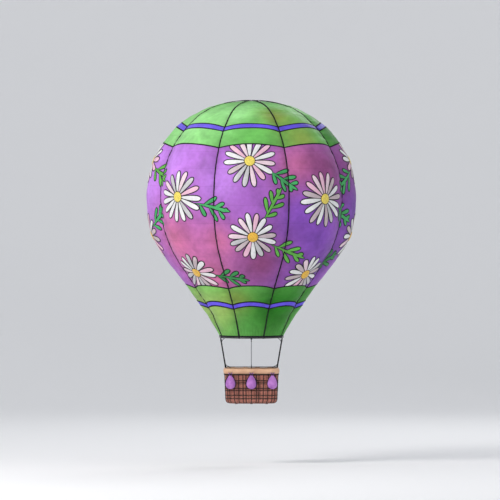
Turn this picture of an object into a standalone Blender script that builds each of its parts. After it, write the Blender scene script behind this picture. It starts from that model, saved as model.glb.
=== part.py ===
"""A small hot air balloon: a lobed fabric envelope with a parachute vent, a load ring with a gimballed
double burner inside the mouth, six risers, and a wicker basket with a padded rim, fuel tanks and ballast bags.

Metres, +Z up. The origin is on the envelope's axis at its widest level. The front of the basket faces -Y.
An azimuth is measured from the front towards +X.
"""

import math

import bmesh
import bpy
from mathutils import Matrix, Vector

# Envelope
GORES = 8
GORE_ANGLE = math.tau / GORES
ENVELOPE_RADIUS = 3.75
CROWN_Z = 3.46
MOUTH_Z = -4.99
MOUTH_RADIUS = 1.13
WAIST_RADIUS = 2.74
WAIST_Z = -2.64
WAIST_SLOPE = 0.795
MOUTH_SLOPE = 0.51
CROWN_HANDLE = 2.75
EQUATOR_HANDLES = (1.41, 1.29)
WAIST_HANDLES = (0.93, 0.73)
MOUTH_HANDLE = 0.88
FABRIC = 0.010
LOBE_DEPTH = 0.07
LOBE_FULL_RADIUS = 2.6
LOBE_MOUTH_FADE = 0.9
COLUMNS_PER_GORE = 6
SEWN_GAP = 0.0005

# Heights at the seams where one cloth colour meets the next; each edge rises in an arch across its gore
UPPER_STRIPE_TOP = 2.524
UPPER_STRIPE_FOOT = 2.366
FLOWER_TOP = 1.799
FLOWER_FOOT = -3.238
LOWER_STRIPE_TOP = -3.820
LOWER_STRIPE_FOOT = -3.978
UPPER_ARCH = 0.140
LOWER_ARCH = 0.110

# Crown opening, parachute vent, load tapes
CROWN_OPENING_RADIUS = 1.00
PARACHUTE_RADIUS = 1.12
PARACHUTE_BOSS_RADIUS = 0.09
CROWN_RING_RADIUS = 0.075
CROWN_RING_TUBE = 0.010
TAPE_WIDTH = 0.034
TAPE_THICKNESS = 0.006
TAPE_LIFT = 0.0040
TAPE_TRIM = 0.0009

# Load ring and burner frame
RING_TUBE = 0.032
RING_RADIUS = 1.129
RING_Z = MOUTH_Z - RING_TUBE
LUG_SIZE = (0.012, 0.060, 0.050)
LUG_FOOT_Z = RING_Z - RING_TUBE - 0.030
FRAME_TUBE = 0.018
FRAME_BAR_Y = 0.47
FRAME_BAR_X = 0.47
BEARING_SIZE = (0.040, 0.060, 0.060)
PIN_RADIUS = 0.009
PIN_HOLE_RADIUS = 0.0096
GIMBAL_RADIUS = 0.35
GIMBAL_TUBE = 0.014
GIMBAL_BOSS_SIZE = (0.060, 0.036, 0.050)

# Burner
BURNER_CAN_X = 0.125
BURNER_CAN_RADIUS = 0.115
BURNER_CAN_HEIGHT = 0.32
BURNER_CAN_WALL = 0.004
BURNER_CAN_FOOT = 0.035
YOKE_SIZE = (0.060, 0.520, 0.040)
BLOCK_SIZE = (0.420, 0.110, 0.060)
BLOCK_DROP = 0.020
BURNER_SUPPORT_RADIUS = 0.050
JET_HOLE = 0.040
COIL_RADIUS = 0.088
COIL_TUBE = 0.010
COIL_TURNS = 3
COIL_PITCH = 0.070
LEVER_X = 0.150
LEVER_REACH = 0.170
LEVER_RADIUS = 0.009

# Basket
BASKET_FOOT_Z = -7.413
SKID_HEIGHT = 0.030
RIM_TOP_Z = -6.117
RIM_FOOT_Z = -6.354
RIM_HALF = (1.000, 0.790)
RIM_WIDTH = 0.150
RIM_CORNER = 0.260
WALL_HALF_TOP = (0.960, 0.750)
WALL_HALF_FOOT = (0.915, 0.705)
WALL_CORNER = 0.220
WALL_FOOT_CORNER = 0.140
WALL_THICKNESS = 0.030
WALL_LEAN_RISE = 0.0020
FLOOR_HALF = (0.762, 0.552)
FLOOR_THICKNESS = 0.012
SEAT_GAP = 0.0003

# Risers from the load ring to the rim: azimuth on the ring, then the foot on the rim
SIDE_RISER_RADIUS = 0.0225
MID_RISER_RADIUS = 0.014
RISER_END = 0.040
SIDE_RISER_TOP = (1.100, 0.236)
SIDE_RISER_FOOT = (0.925, 0.450)
MID_RISER_TOP = (0.0, RING_RADIUS)
MID_RISER_FOOT = (0.0, 0.715)

# Fuel tanks
TANK_PLACE = (0.56, 0.35)
TANK_RADIUS = 0.17
TANK_HEIGHT = 0.74
TANK_DOME = 0.06
TANK_STRAPS = (0.54, 0.22)
STRAP_WIDTH = 0.04
STRAP_THICKNESS = 0.005
VALVE_HEIGHT = 0.085
HOSE_RADIUS = 0.011

# Ballast bags
BAG_SPACING = 0.755
BAG_HALF_WIDTH = 0.185
BAG_DEPTH_SHARE = 0.70
BAG_PIVOT_Z = -6.280
BAG_PIVOT_Y = 0.890
BAG_LENGTH = 0.580
BAG_LOOP_RADIUS = 0.026
BAG_LOOP_TUBE = 0.007
HOOK_RADIUS = 0.006
HOOK_TIP = 0.045
HOOK_ROOT_DROP = 0.042

COLOURS = {
    "crown_green": ((0.25, 0.62, 0.22), 0.65, 0.0),
    "violet_tape": ((0.26, 0.20, 0.78), 0.60, 0.0),
    "flower_purple": ((0.50, 0.26, 0.66), 0.65, 0.0),
    "black_webbing": ((0.03, 0.03, 0.035), 0.80, 0.0),
    "dark_steel": ((0.05, 0.05, 0.055), 0.45, 0.9),
    "bright_steel": ((0.62, 0.62, 0.63), 0.25, 1.0),
    "brass": ((0.70, 0.52, 0.22), 0.30, 1.0),
    "wicker": ((0.42, 0.22, 0.16), 0.75, 0.0),
    "rim_leather": ((0.80, 0.55, 0.40), 0.60, 0.0),
    "plywood": ((0.62, 0.46, 0.28), 0.70, 0.0),
    "black_hose": ((0.02, 0.02, 0.02), 0.50, 0.0),
    "bag_violet": ((0.55, 0.30, 0.66), 0.75, 0.0),
}


def clear_scene():
    for obj in list(bpy.data.objects):
        bpy.data.objects.remove(obj, do_unlink=True)


def make_collection(name):
    collection = bpy.data.collections.new(name)
    bpy.context.scene.collection.children.link(collection)
    return collection


def make_materials():
    made = {}
    for name, (colour, roughness, metallic) in COLOURS.items():
        material = bpy.data.materials.new(name)
        material.use_nodes = True
        shader = material.node_tree.nodes["Principled BSDF"]
        shader.inputs["Base Color"].default_value = (*colour, 1.0)
        shader.inputs["Roughness"].default_value = roughness
        shader.inputs["Metallic"].default_value = metallic
        made[name] = material
    return made


def add_object(name, data, material, collection=None):
    obj = bpy.data.objects.new(name, data)
    (collection or PARTS).objects.link(obj)
    if material:
        data.materials.append(MATERIALS[material])
    return obj


def mesh_object(name, bm, material, smooth_angle=40.0):
    """Turns a finished bmesh into an object, shaded smooth apart from its sharp edges."""
    bmesh.ops.recalc_face_normals(bm, faces=bm.faces)
    if bm.calc_volume(signed=True) < 0:
        bmesh.ops.reverse_faces(bm, faces=bm.faces)
    mesh = bpy.data.meshes.new(name)
    bm.to_mesh(mesh)
    bm.free()
    mesh.shade_smooth()
    mesh.set_sharp_from_angle(angle=math.radians(smooth_angle))
    return add_object(name, mesh, material)


def as_helper(obj):
    """Moves a cutter or a guide out of the model."""
    PARTS.objects.unlink(obj)
    HELPERS.objects.link(obj)
    obj.hide_render = True
    obj.display_type = "WIRE"
    return obj


def evaluated_mesh(obj):
    """The object's mesh with its modifiers and its place, its curve caps welded."""
    bpy.context.view_layer.update()
    graph = bpy.context.evaluated_depsgraph_get()
    mesh = bpy.data.meshes.new_from_object(obj.evaluated_get(graph))
    mesh.transform(obj.matrix_world)
    bm = bmesh.new()
    bm.from_mesh(mesh)
    bmesh.ops.remove_doubles(bm, verts=bm.verts, dist=0.00001)
    bmesh.ops.recalc_face_normals(bm, faces=bm.faces)
    bm.to_mesh(mesh)
    bm.free()
    return mesh


def join(name, pieces, material):
    """One object made of several pieces that don't touch each other."""
    bm = bmesh.new()
    for piece in pieces:
        bm.from_mesh(evaluated_mesh(piece))
        bpy.data.objects.remove(piece, do_unlink=True)
    return mesh_object(name, bm, material)


def boolean(obj, other, operation):
    modifier = obj.modifiers.new(operation.lower(), "BOOLEAN")
    modifier.operation = operation
    modifier.solver = "EXACT"
    modifier.object = as_helper(other)


def plain_mesh(name, obj, material=None):
    """The object as a plain mesh object: curves and modifiers can't be combined as they are."""
    mesh = evaluated_mesh(obj)
    mesh.materials.clear()
    bpy.data.objects.remove(obj, do_unlink=True)
    return add_object(name, mesh, material)


def union(name, pieces, material):
    """One object in which overlapping pieces are welded together."""
    first = plain_mesh(name, pieces[0], material)
    for piece in pieces[1:]:
        boolean(first, plain_mesh(f"{name}_piece", piece), "UNION")
    return first


def rod(name, start, end, radius, material, sides=16):
    """A straight round bar from one point to another."""
    start = Vector(start)
    along = Vector(end) - start
    bm = bmesh.new()
    bmesh.ops.create_cone(bm, cap_ends=True, segments=sides, radius1=radius, radius2=radius, depth=along.length)
    turn = Vector((0, 0, 1)).rotation_difference(along).to_matrix().to_4x4()
    bmesh.ops.transform(bm, verts=bm.verts, matrix=Matrix.Translation(start + along / 2) @ turn)
    return mesh_object(name, bm, material)


def block(name, centre, size, material, turn=0.0):
    """A box, turned about Z by the angle given."""
    bm = bmesh.new()
    bmesh.ops.create_cube(bm, size=1.0)
    bmesh.ops.scale(bm, verts=bm.verts, vec=size)
    bmesh.ops.rotate(bm, verts=bm.verts, cent=(0, 0, 0), matrix=Matrix.Rotation(turn, 3, "Z"))
    bmesh.ops.translate(bm, verts=bm.verts, vec=centre)
    return mesh_object(name, bm, material)


def ring(name, centre, radius, tube, material, segments=48, sides=12):
    bpy.ops.mesh.primitive_torus_add(
        location=centre, major_radius=radius, minor_radius=tube, major_segments=segments, minor_segments=sides
    )
    obj = bpy.context.object
    for collection in list(obj.users_collection):
        collection.objects.unlink(obj)
    PARTS.objects.link(obj)
    obj.name = name
    obj.data.name = name
    obj.data.materials.append(MATERIALS[material])
    obj.data.shade_smooth()
    return obj


def turned(name, profile, centre, material, steps=24):
    """A solid of revolution about Z. The profile lists (radius, height) from its top down its outer side."""
    bm = bmesh.new()
    verts = [bm.verts.new((radius, 0, height)) for radius, height in profile]
    for first, second in zip(verts, verts[1:]):
        bm.edges.new((first, second))
    mesh = bpy.data.meshes.new(name)
    bm.to_mesh(mesh)
    bm.free()
    obj = add_object(name, mesh, material)
    obj.location = centre
    screw = obj.modifiers.new("turn", "SCREW")
    screw.steps = steps
    screw.render_steps = steps
    screw.use_merge_vertices = True
    screw.merge_threshold = 0.0001
    screw.use_smooth_shade = True
    return obj


def tube(name, points, radius, material, resolution=2):
    """A round tube along a poly line."""
    curve = bpy.data.curves.new(name, "CURVE")
    curve.dimensions = "3D"
    curve.bevel_depth = radius
    curve.bevel_resolution = resolution
    curve.use_fill_caps = True
    spline = curve.splines.new("POLY")
    spline.points.add(len(points) - 1)
    for point, place in zip(spline.points, points):
        point.co = (*place, 1.0)
    return add_object(name, curve, material)


def smooth_points(route, spacing):
    """Points on a smooth curve through the route, about the given distance apart."""
    route = [Vector(point) for point in route]
    ends = [2 * route[0] - route[1], *route, 2 * route[-1] - route[-2]]
    points = [route[0]]
    for before, start, end, after in zip(ends, ends[1:], ends[2:], ends[3:]):
        steps = max(1, round((end - start).length / spacing))
        for step in range(1, steps + 1):
            t = step / steps
            points.append(
                0.5 * (2 * start + (end - before) * t + (2 * before - 5 * start + 4 * end - after) * t**2
                       + (3 * start - before - 3 * end + after) * t**3)
            )
    return points


def smooth_step(value):
    value = min(1.0, max(0.0, value))
    return value * value * (3 - 2 * value)


def profile_pieces():
    """The silhouette as three cubic curves in (radius, height), from the crown to the mouth."""
    waist = Vector((WAIST_RADIUS, WAIST_Z))
    mouth = Vector((MOUTH_RADIUS, MOUTH_Z))
    waist_way = Vector((-WAIST_SLOPE, -1)).normalized()
    mouth_way = Vector((-MOUTH_SLOPE, -1)).normalized()
    equator = Vector((ENVELOPE_RADIUS, 0))
    crown = Vector((0, CROWN_Z))
    return [
        (crown, crown + Vector((CROWN_HANDLE, 0)), equator + Vector((0, EQUATOR_HANDLES[0])), equator),
        (equator, equator - Vector((0, EQUATOR_HANDLES[1])), waist - waist_way * WAIST_HANDLES[0], waist),
        (waist, waist + waist_way * WAIST_HANDLES[1], mouth - mouth_way * MOUTH_HANDLE, mouth),
    ]


PROFILE = profile_pieces()
PROFILE_END = float(len(PROFILE))


def silhouette(station):
    """(radius, height) at a station from 0, the crown, to PROFILE_END, the mouth."""
    station = min(max(station, 0.0), PROFILE_END)
    index = min(int(station), len(PROFILE) - 1)
    t = station - index
    a, b, c, d = PROFILE[index]
    return a * (1 - t) ** 3 + b * 3 * t * (1 - t) ** 2 + c * 3 * t * t * (1 - t) + d * t**3


def station_where(wanted, measure, low=0.0, high=PROFILE_END):
    """The station at which a measure that grows along the profile reaches the wanted value."""
    for _ in range(50):
        middle = (low + high) / 2
        if measure(silhouette(middle)) < wanted:
            low = middle
        else:
            high = middle
    return (low + high) / 2


def station_at_height(height):
    return station_where(-height, lambda place: -place.y)


def station_at_crown_radius(radius):
    return station_where(radius, lambda place: place.x, high=1.0)


def gore_share(azimuth):
    """Where an azimuth lies in its gore: -1 and 1 at the seams, 0 in the middle."""
    offset = (azimuth + GORE_ANGLE / 2) % GORE_ANGLE - GORE_ANGLE / 2
    return offset / (GORE_ANGLE / 2)


def lobed(station, azimuth):
    """(radius, height) of the cloth, whose gores bulge between the seams as round lobes."""
    place = silhouette(station)
    crown_fade = smooth_step((place.x - PARACHUTE_RADIUS) / (LOBE_FULL_RADIUS - PARACHUTE_RADIUS))
    if station > 1:
        crown_fade = 1.0
    mouth_fade = smooth_step((place.y - MOUTH_Z) / LOBE_MOUTH_FADE)
    half = GORE_ANGLE / 2
    seam = place.x * (1 - LOBE_DEPTH * crown_fade * mouth_fade)
    chord = seam * math.sin(half)
    rise = place.x - seam * math.cos(half)
    lobe = (chord**2 + rise**2) / (2 * rise)
    angle = gore_share(azimuth) * half
    centre = place.x - lobe
    radius = centre * math.cos(angle) + math.sqrt(lobe**2 - (centre * math.sin(angle)) ** 2)
    return Vector((radius, place.y))


def outward(station, azimuth):
    """The cloth's outward direction in the plane through the axis."""
    step = 0.001
    low, high = max(station - step, 0.002), min(station + step, PROFILE_END)
    along = lobed(high, azimuth) - lobed(low, azimuth)
    return Vector((-along.y, along.x)).normalized()


def place_at(radius, height, azimuth):
    return Vector((radius * math.sin(azimuth), -radius * math.cos(azimuth), height))


def cloth_point(station, azimuth, inset):
    place = lobed(station, azimuth) - outward(station, azimuth) * inset
    return place_at(place.x, place.y, azimuth)


def station_shift(station, distance):
    """The station a short distance further along the cloth."""
    step = 0.001
    pace = (silhouette(min(station + step, PROFILE_END)) - silhouette(station - step)).length / (2 * step)
    return station + distance / pace


def level_edge(station):
    return lambda azimuth: station


def arched_edge(seam_height, arch):
    """An edge that is lowest at the seams and rises in the middle of each gore."""
    return lambda azimuth: station_at_height(seam_height + arch * (1 - gore_share(azimuth) ** 2))


def row_stations(edges, rows, azimuth):
    """The stations of a panel's rows at one azimuth, short of its outer edges by half a sewn gap."""
    bounds = [edge(azimuth) for edge in edges]
    bounds[0] = station_shift(bounds[0], SEWN_GAP / 2)
    bounds[-1] = station_shift(bounds[-1], -SEWN_GAP / 2)
    stations = [bounds[0]]
    for start, end, count in zip(bounds, bounds[1:], rows):
        stations += [start + (end - start) * step / count for step in range(1, count + 1)]
    return stations


def cloth_panel(name, edges, rows, material, gore=None, inset=0.0, thickness=FABRIC):
    """A sewn panel of the envelope between edges: a whole ring, or one gore between its two seams."""
    columns = COLUMNS_PER_GORE if gore is not None else COLUMNS_PER_GORE * GORES
    count = sum(rows)
    bm = bmesh.new()
    bmesh.ops.create_grid(bm, x_segments=columns, y_segments=count, size=0.5)
    slab = bmesh.ops.extrude_face_region(bm, geom=list(bm.faces))
    inner = [item for item in slab["geom"] if isinstance(item, bmesh.types.BMVert)]
    bmesh.ops.translate(bm, verts=inner, vec=(0, 0, -1))
    if gore is None:
        ends = [face for face in bm.faces if all(abs(abs(v.co.x) - 0.5) < 1e-6 for v in face.verts)
                and abs(face.normal.x) > 0.5]
        bmesh.ops.delete(bm, geom=ends, context="FACES_ONLY")
        start, width = GORE_ANGLE / 2, math.tau
    else:
        margin = SEWN_GAP / 2 / ENVELOPE_RADIUS
        start, width = (gore - 0.5) * GORE_ANGLE + margin, GORE_ANGLE - 2 * margin
    tables = {}
    for vert in bm.verts:
        column = round((vert.co.x + 0.5) * columns)
        row = round((0.5 - vert.co.y) * count)
        azimuth = start + width * (column % columns if gore is None else column) / columns
        if column not in tables:
            tables[column] = row_stations(edges, rows, azimuth)
        depth = inset + (thickness if vert.co.z < -0.5 else 0.0)
        vert.co = cloth_point(tables[column][row], azimuth, depth)
    if gore is None:
        bmesh.ops.remove_doubles(bm, verts=bm.verts, dist=0.00005)
    bmesh.ops.triangulate(bm, faces=bm.faces, quad_method="SHORT_EDGE")
    return mesh_object(name, bm, material, smooth_angle=30.0)


def envelope_edges():
    return {
        "opening": level_edge(station_at_crown_radius(CROWN_OPENING_RADIUS)),
        "vent_lap": level_edge(station_at_crown_radius(PARACHUTE_RADIUS)),
        "upper_stripe_top": arched_edge(UPPER_STRIPE_TOP, UPPER_ARCH),
        "upper_stripe_foot": arched_edge(UPPER_STRIPE_FOOT, UPPER_ARCH),
        "flower_top": arched_edge(FLOWER_TOP, UPPER_ARCH),
        "flower_foot": arched_edge(FLOWER_FOOT, LOWER_ARCH),
        "lower_stripe_top": arched_edge(LOWER_STRIPE_TOP, LOWER_ARCH),
        "lower_stripe_foot": arched_edge(LOWER_STRIPE_FOOT, LOWER_ARCH),
        "mouth": level_edge(PROFILE_END),
    }


# Each cloth band: its name, the edges it runs between, the rows between them, and its colour
BANDS = (
    ("crown_panels", ("opening", "vent_lap", "upper_stripe_top"), (1, 4), "crown_green"),
    ("upper_stripe", ("upper_stripe_top", "upper_stripe_foot"), (1,), "violet_tape"),
    ("shoulder_panels", ("upper_stripe_foot", "flower_top"), (2,), "crown_green"),
    ("flower_panel", ("flower_top", "flower_foot"), (9,), "flower_purple"),
    ("waist_panels", ("flower_foot", "lower_stripe_top"), (2,), "crown_green"),
    ("lower_stripe", ("lower_stripe_top", "lower_stripe_foot"), (1,), "violet_tape"),
    ("skirt_panels", ("lower_stripe_foot", "mouth"), (3,), "crown_green"),
)


def make_envelope(edges):
    for name, between, rows, material in BANDS:
        bounds = [edges[edge] for edge in between]
        if name == "flower_panel":
            for gore in range(GORES):
                cloth_panel(f"{name}_{gore + 1}", bounds, rows, material, gore=gore)
        else:
            cloth_panel(name, bounds, rows, material)


def tape_lift(station, seam):
    """How far a flat tape has to stand off the seam's valley so that its edges clear the cloth on both sides."""
    at_seam = cloth_point(station, seam, 0.0)
    beside = cloth_point(station, seam + GORE_ANGLE / COLUMNS_PER_GORE, 0.0) - at_seam
    normal = outward(station, seam)
    rise = beside.dot(place_at(normal.x, normal.y, seam))
    run = beside.dot(Vector((math.cos(seam), math.sin(seam), 0)))
    return max(0.0, rise / run) * TAPE_WIDTH / 2 + TAPE_LIFT


def tape_outline(edges, seam):
    """The closed outline of one load tape in the plane of its seam, from the crown ring to the load ring."""
    opening = edges["opening"](seam)
    start = station_at_crown_radius(CROWN_RING_RADIUS)
    stations = [start + (opening - start) * step / 3 for step in range(3)]
    for _, between, rows, _ in BANDS:
        stations += row_stations([edges[edge] for edge in between], rows, seam)
    lower, upper = [], []
    for station in stations:
        normal = outward(station, seam)
        lift = tape_lift(station, seam)
        lower.append(lobed(station, seam) + normal * lift)
        upper.append(lobed(station, seam) + normal * (lift + TAPE_THICKNESS))
    trim = (lower[-1] - lower[-2]).normalized() * TAPE_TRIM
    lower[-1] -= trim
    upper[-1] -= trim
    return upper + lower[::-1]


def make_load_tapes(edges):
    """Eight webbing tapes that carry the load along the seams, joined by the ring at the crown."""
    outline = tape_outline(edges, GORE_ANGLE / 2)
    tapes = []
    for gore in range(GORES):
        curve = bpy.data.curves.new("tape", "CURVE")
        curve.dimensions = "2D"
        curve.fill_mode = "BOTH"
        curve.extrude = TAPE_WIDTH / 2
        spline = curve.splines.new("POLY")
        spline.use_cyclic_u = True
        spline.points.add(len(outline) - 1)
        for point, place in zip(spline.points, outline):
            point.co = (place.x, place.y, 0, 1)
        tape = add_object("tape", curve, "black_webbing")
        azimuth = (gore + 0.5) * GORE_ANGLE
        tape.matrix_world = Matrix.Rotation(azimuth - math.pi / 2, 4, "Z") @ Matrix.Rotation(math.pi / 2, 4, "X")
        tapes.append(tape)
    height = silhouette(station_at_crown_radius(CROWN_RING_RADIUS)).y + TAPE_LIFT + TAPE_THICKNESS / 2
    hub = ring("hub", (0, 0, height), CROWN_RING_RADIUS, CROWN_RING_TUBE, "bright_steel", segments=24, sides=6)
    union("load_tapes", [hub, *tapes], "black_webbing")


def make_parachute(edges):
    """The vent panel that the hot air presses up against the inside of the crown opening."""
    boss = level_edge(station_at_crown_radius(PARACHUTE_BOSS_RADIUS))
    bounds = [boss, edges["opening"], edges["vent_lap"]]
    cloth_panel("parachute_panel", bounds, (2, 1), "crown_green", inset=FABRIC + SEWN_GAP)
    top = silhouette(0).y - FABRIC - SEWN_GAP
    radius = PARACHUTE_BOSS_RADIUS - SEWN_GAP
    profile = [(0, top), (radius, top), (radius, top - FABRIC), (0.02, top - FABRIC), (0.02, top - 0.05), (0, top - 0.05)]
    turned("parachute_boss", profile, (0, 0, 0), "bright_steel")


def riser_lines():
    """(top, foot, radius) of the six risers: their places on the load ring's lugs and on the rim."""
    lines = []
    for side in (-1, 1):
        for end in (-1, 1):
            top = (side * SIDE_RISER_TOP[0], end * SIDE_RISER_TOP[1])
            foot = (side * SIDE_RISER_FOOT[0], end * SIDE_RISER_FOOT[1])
            lines.append((top, foot, SIDE_RISER_RADIUS))
    for end in (-1, 1):
        lines.append(((0.0, end * MID_RISER_TOP[1]), (0.0, end * MID_RISER_FOOT[1]), MID_RISER_RADIUS))
    return lines


def make_load_ring():
    """The round tube at the mouth, with a lug over each riser."""
    pieces = [ring("load_ring", (0, 0, RING_Z), RING_RADIUS, RING_TUBE, "dark_steel", sides=8)]
    for (x, y), _, _ in riser_lines():
        turn = math.atan2(y, x)
        centre = (x, y, (RING_Z + LUG_FOOT_Z) / 2)
        size = (LUG_SIZE[0], LUG_SIZE[1], RING_Z - LUG_FOOT_Z)
        pieces.append(block("lug", centre, size, "dark_steel", turn))
    union("load_ring", pieces, "dark_steel")


def make_risers():
    for number, (top, foot, radius) in enumerate(riser_lines(), 1):
        high = LUG_FOOT_Z - SEAT_GAP
        low = RIM_TOP_Z + SEAT_GAP
        points = [(*top, high), (*top, high - RISER_END), (*foot, low + RISER_END), (*foot, low)]
        tube(f"riser_{number}", points, radius, "black_webbing")


def make_burner_frame():
    """Four crossed bars inside the load ring, with the bearings that carry the gimbal."""
    reach = math.sqrt(RING_RADIUS**2 - FRAME_BAR_Y**2)
    pieces = [rod("bar", (-reach, y, RING_Z), (reach, y, RING_Z), FRAME_TUBE, "dark_steel")
              for y in (-FRAME_BAR_Y, FRAME_BAR_Y)]
    for x in (-FRAME_BAR_X, FRAME_BAR_X):
        pieces.append(rod("bar", (x, -FRAME_BAR_Y, RING_Z), (x, FRAME_BAR_Y, RING_Z), FRAME_TUBE, "dark_steel"))
        pieces.append(block("bearing", (x, 0, RING_Z), BEARING_SIZE, "dark_steel"))
    frame = union("burner_frame", pieces, "dark_steel")
    bore = rod("bearing_bore", (-reach, 0, RING_Z), (reach, 0, RING_Z), PIN_HOLE_RADIUS, None)
    boolean(frame, bore, "DIFFERENCE")
    seat = ring("ring_seat", (0, 0, RING_Z), RING_RADIUS, RING_TUBE + SEAT_GAP, "dark_steel", sides=8)
    boolean(frame, seat, "DIFFERENCE")


def make_gimbal():
    pieces = [ring("gimbal_ring", (0, 0, RING_Z), GIMBAL_RADIUS, GIMBAL_TUBE, "bright_steel", segments=36, sides=6)]
    for side in (-1, 1):
        end = side * (FRAME_BAR_X + BEARING_SIZE[0] / 2)
        pieces.append(rod("pin", (side * GIMBAL_RADIUS, 0, RING_Z), (end, 0, RING_Z), PIN_RADIUS, "bright_steel"))
        pieces.append(block("boss", (0, side * GIMBAL_RADIUS, RING_Z), GIMBAL_BOSS_SIZE, "bright_steel"))
    gimbal = union("gimbal_ring", pieces, "bright_steel")
    bore = rod("gimbal_bore", (0, -1, RING_Z), (0, 1, RING_Z), PIN_HOLE_RADIUS, None)
    boolean(gimbal, bore, "DIFFERENCE")


def make_burner():
    """The double burner: a valve block on a yoke with two blast levers, two open cans and their coils."""
    pin_end = GIMBAL_RADIUS + GIMBAL_BOSS_SIZE[1] / 2
    pieces = [
        block("yoke", (0, 0, RING_Z), YOKE_SIZE, "brass"),
        rod("pin", (0, -pin_end, RING_Z), (0, pin_end, RING_Z), PIN_RADIUS, "brass"),
        block("body", (0, 0, RING_Z - BLOCK_DROP), BLOCK_SIZE, "brass"),
    ]
    for number, side in ((1, -1), (2, 1)):
        foot = Vector((side * BURNER_CAN_X, 0, RING_Z))
        seat = foot + Vector((0, 0, BURNER_CAN_FOOT))
        pieces.append(rod("support", foot, seat, BURNER_SUPPORT_RADIUS, "brass"))
        lever = Vector((side * LEVER_X, 0, RING_Z - BLOCK_DROP))
        pieces.append(tube("lever", [lever, lever + Vector((0, -0.10, 0)), lever + Vector((0, -LEVER_REACH, -0.02))],
                           LEVER_RADIUS, "brass"))
        make_can(number, seat + Vector((0, 0, SEAT_GAP)))
    union("burner_block", pieces, "brass")


def make_can(number, centre):
    """An open can and the vaporising coil that stands inside it."""
    outer, inner, top, wall = BURNER_CAN_RADIUS, BURNER_CAN_RADIUS - BURNER_CAN_WALL, BURNER_CAN_HEIGHT, BURNER_CAN_WALL
    profile = [(inner, top), (outer, top), (outer, 0), (JET_HOLE, 0), (JET_HOLE, wall), (inner, wall), (inner, top)]
    turned(f"burner_can_{number}", profile, centre, "bright_steel", steps=20)
    foot = wall + COIL_TUBE * math.cos(math.pi / 6) + SEAT_GAP
    steps = 12
    helix = []
    for step in range(COIL_TURNS * steps + 1):
        angle = step * math.tau / steps
        height = foot + COIL_PITCH * step / steps
        helix.append(centre + Vector((COIL_RADIUS * math.cos(angle), COIL_RADIUS * math.sin(angle), height)))
    tube(f"burner_coil_{number}", helix, COIL_TUBE, "brass", resolution=1)


def make_rim():
    """The padded leather rim: an arched section swept round the rounded rectangle of the basket's top."""
    half_width = RIM_WIDTH / 2
    height = RIM_TOP_Z - RIM_FOOT_Z
    section = bpy.data.curves.new("rim_section", "CURVE")
    section.dimensions = "2D"
    spline = section.splines.new("BEZIER")
    spline.use_cyclic_u = True
    spline.resolution_u = 2
    foot_round, top_round = 0.040, half_width
    kappa = 0.5523
    outline = [
        ((-half_width + foot_round, 0), (-half_width + foot_round * (1 - kappa), 0), None),
        ((half_width - foot_round, 0), None, (half_width - foot_round * (1 - kappa), 0)),
        ((half_width, foot_round), (half_width, foot_round * (1 - kappa)), None),
        ((half_width, height - top_round), None, (half_width, height - top_round * (1 - kappa))),
        ((0, height), (top_round * kappa, height), (-top_round * kappa, height)),
        ((-half_width, height - top_round), (-half_width, height - top_round * (1 - kappa)), None),
        ((-half_width, foot_round), None, (-half_width, foot_round * (1 - kappa))),
    ]
    spline.bezier_points.add(len(outline) - 1)
    for index, (point, (place, before, after)) in enumerate(zip(spline.bezier_points, outline)):
        point.handle_left_type = point.handle_right_type = "FREE"
        point.co = (*place, 0)
        point.handle_left = (*(before or place), 0)
        point.handle_right = (*(after or place), 0)
    guide = as_helper(add_object("rim_section", section, None))

    half = (RIM_HALF[0] - half_width, RIM_HALF[1] - half_width)
    path = rounded_rectangle("rim_pad", half, RIM_CORNER - half_width, resolution=4)
    path.bevel_mode = "OBJECT"
    path.bevel_object = guide
    swept = add_object("rim_sweep", path, "rim_leather")
    swept.location = (0, 0, RIM_FOOT_Z)
    join("rim_pad", [swept], "rim_leather")


def rounded_rectangle(name, half, corner, resolution):
    """A closed curve round a rectangle with round corners, in the XY plane."""
    curve = bpy.data.curves.new(name, "CURVE")
    curve.dimensions = "3D"
    spline = curve.splines.new("BEZIER")
    spline.use_cyclic_u = True
    spline.resolution_u = resolution
    spline.bezier_points.add(7)
    kappa = 0.5523 * corner
    places = []
    for sx, sy, first_along_x in ((1, -1, True), (1, 1, False), (-1, 1, True), (-1, -1, False)):
        x, y = sx * half[0], sy * half[1]
        along_x = (Vector((x - sx * corner, y, 0)), Vector((sx * kappa, 0, 0)))
        along_y = (Vector((x, y - sy * corner, 0)), Vector((0, sy * kappa, 0)))
        arc = [along_x, along_y] if first_along_x else [along_y, along_x]
        places.append((arc[0][0], None, arc[0][1]))
        places.append((arc[1][0], arc[1][1], None))
    for point, (place, before, after) in zip(spline.bezier_points, places):
        point.handle_left_type = point.handle_right_type = "FREE"
        point.co = place
        point.handle_left = place + before if before else place
        point.handle_right = place + after if after else place
    return curve


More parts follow.
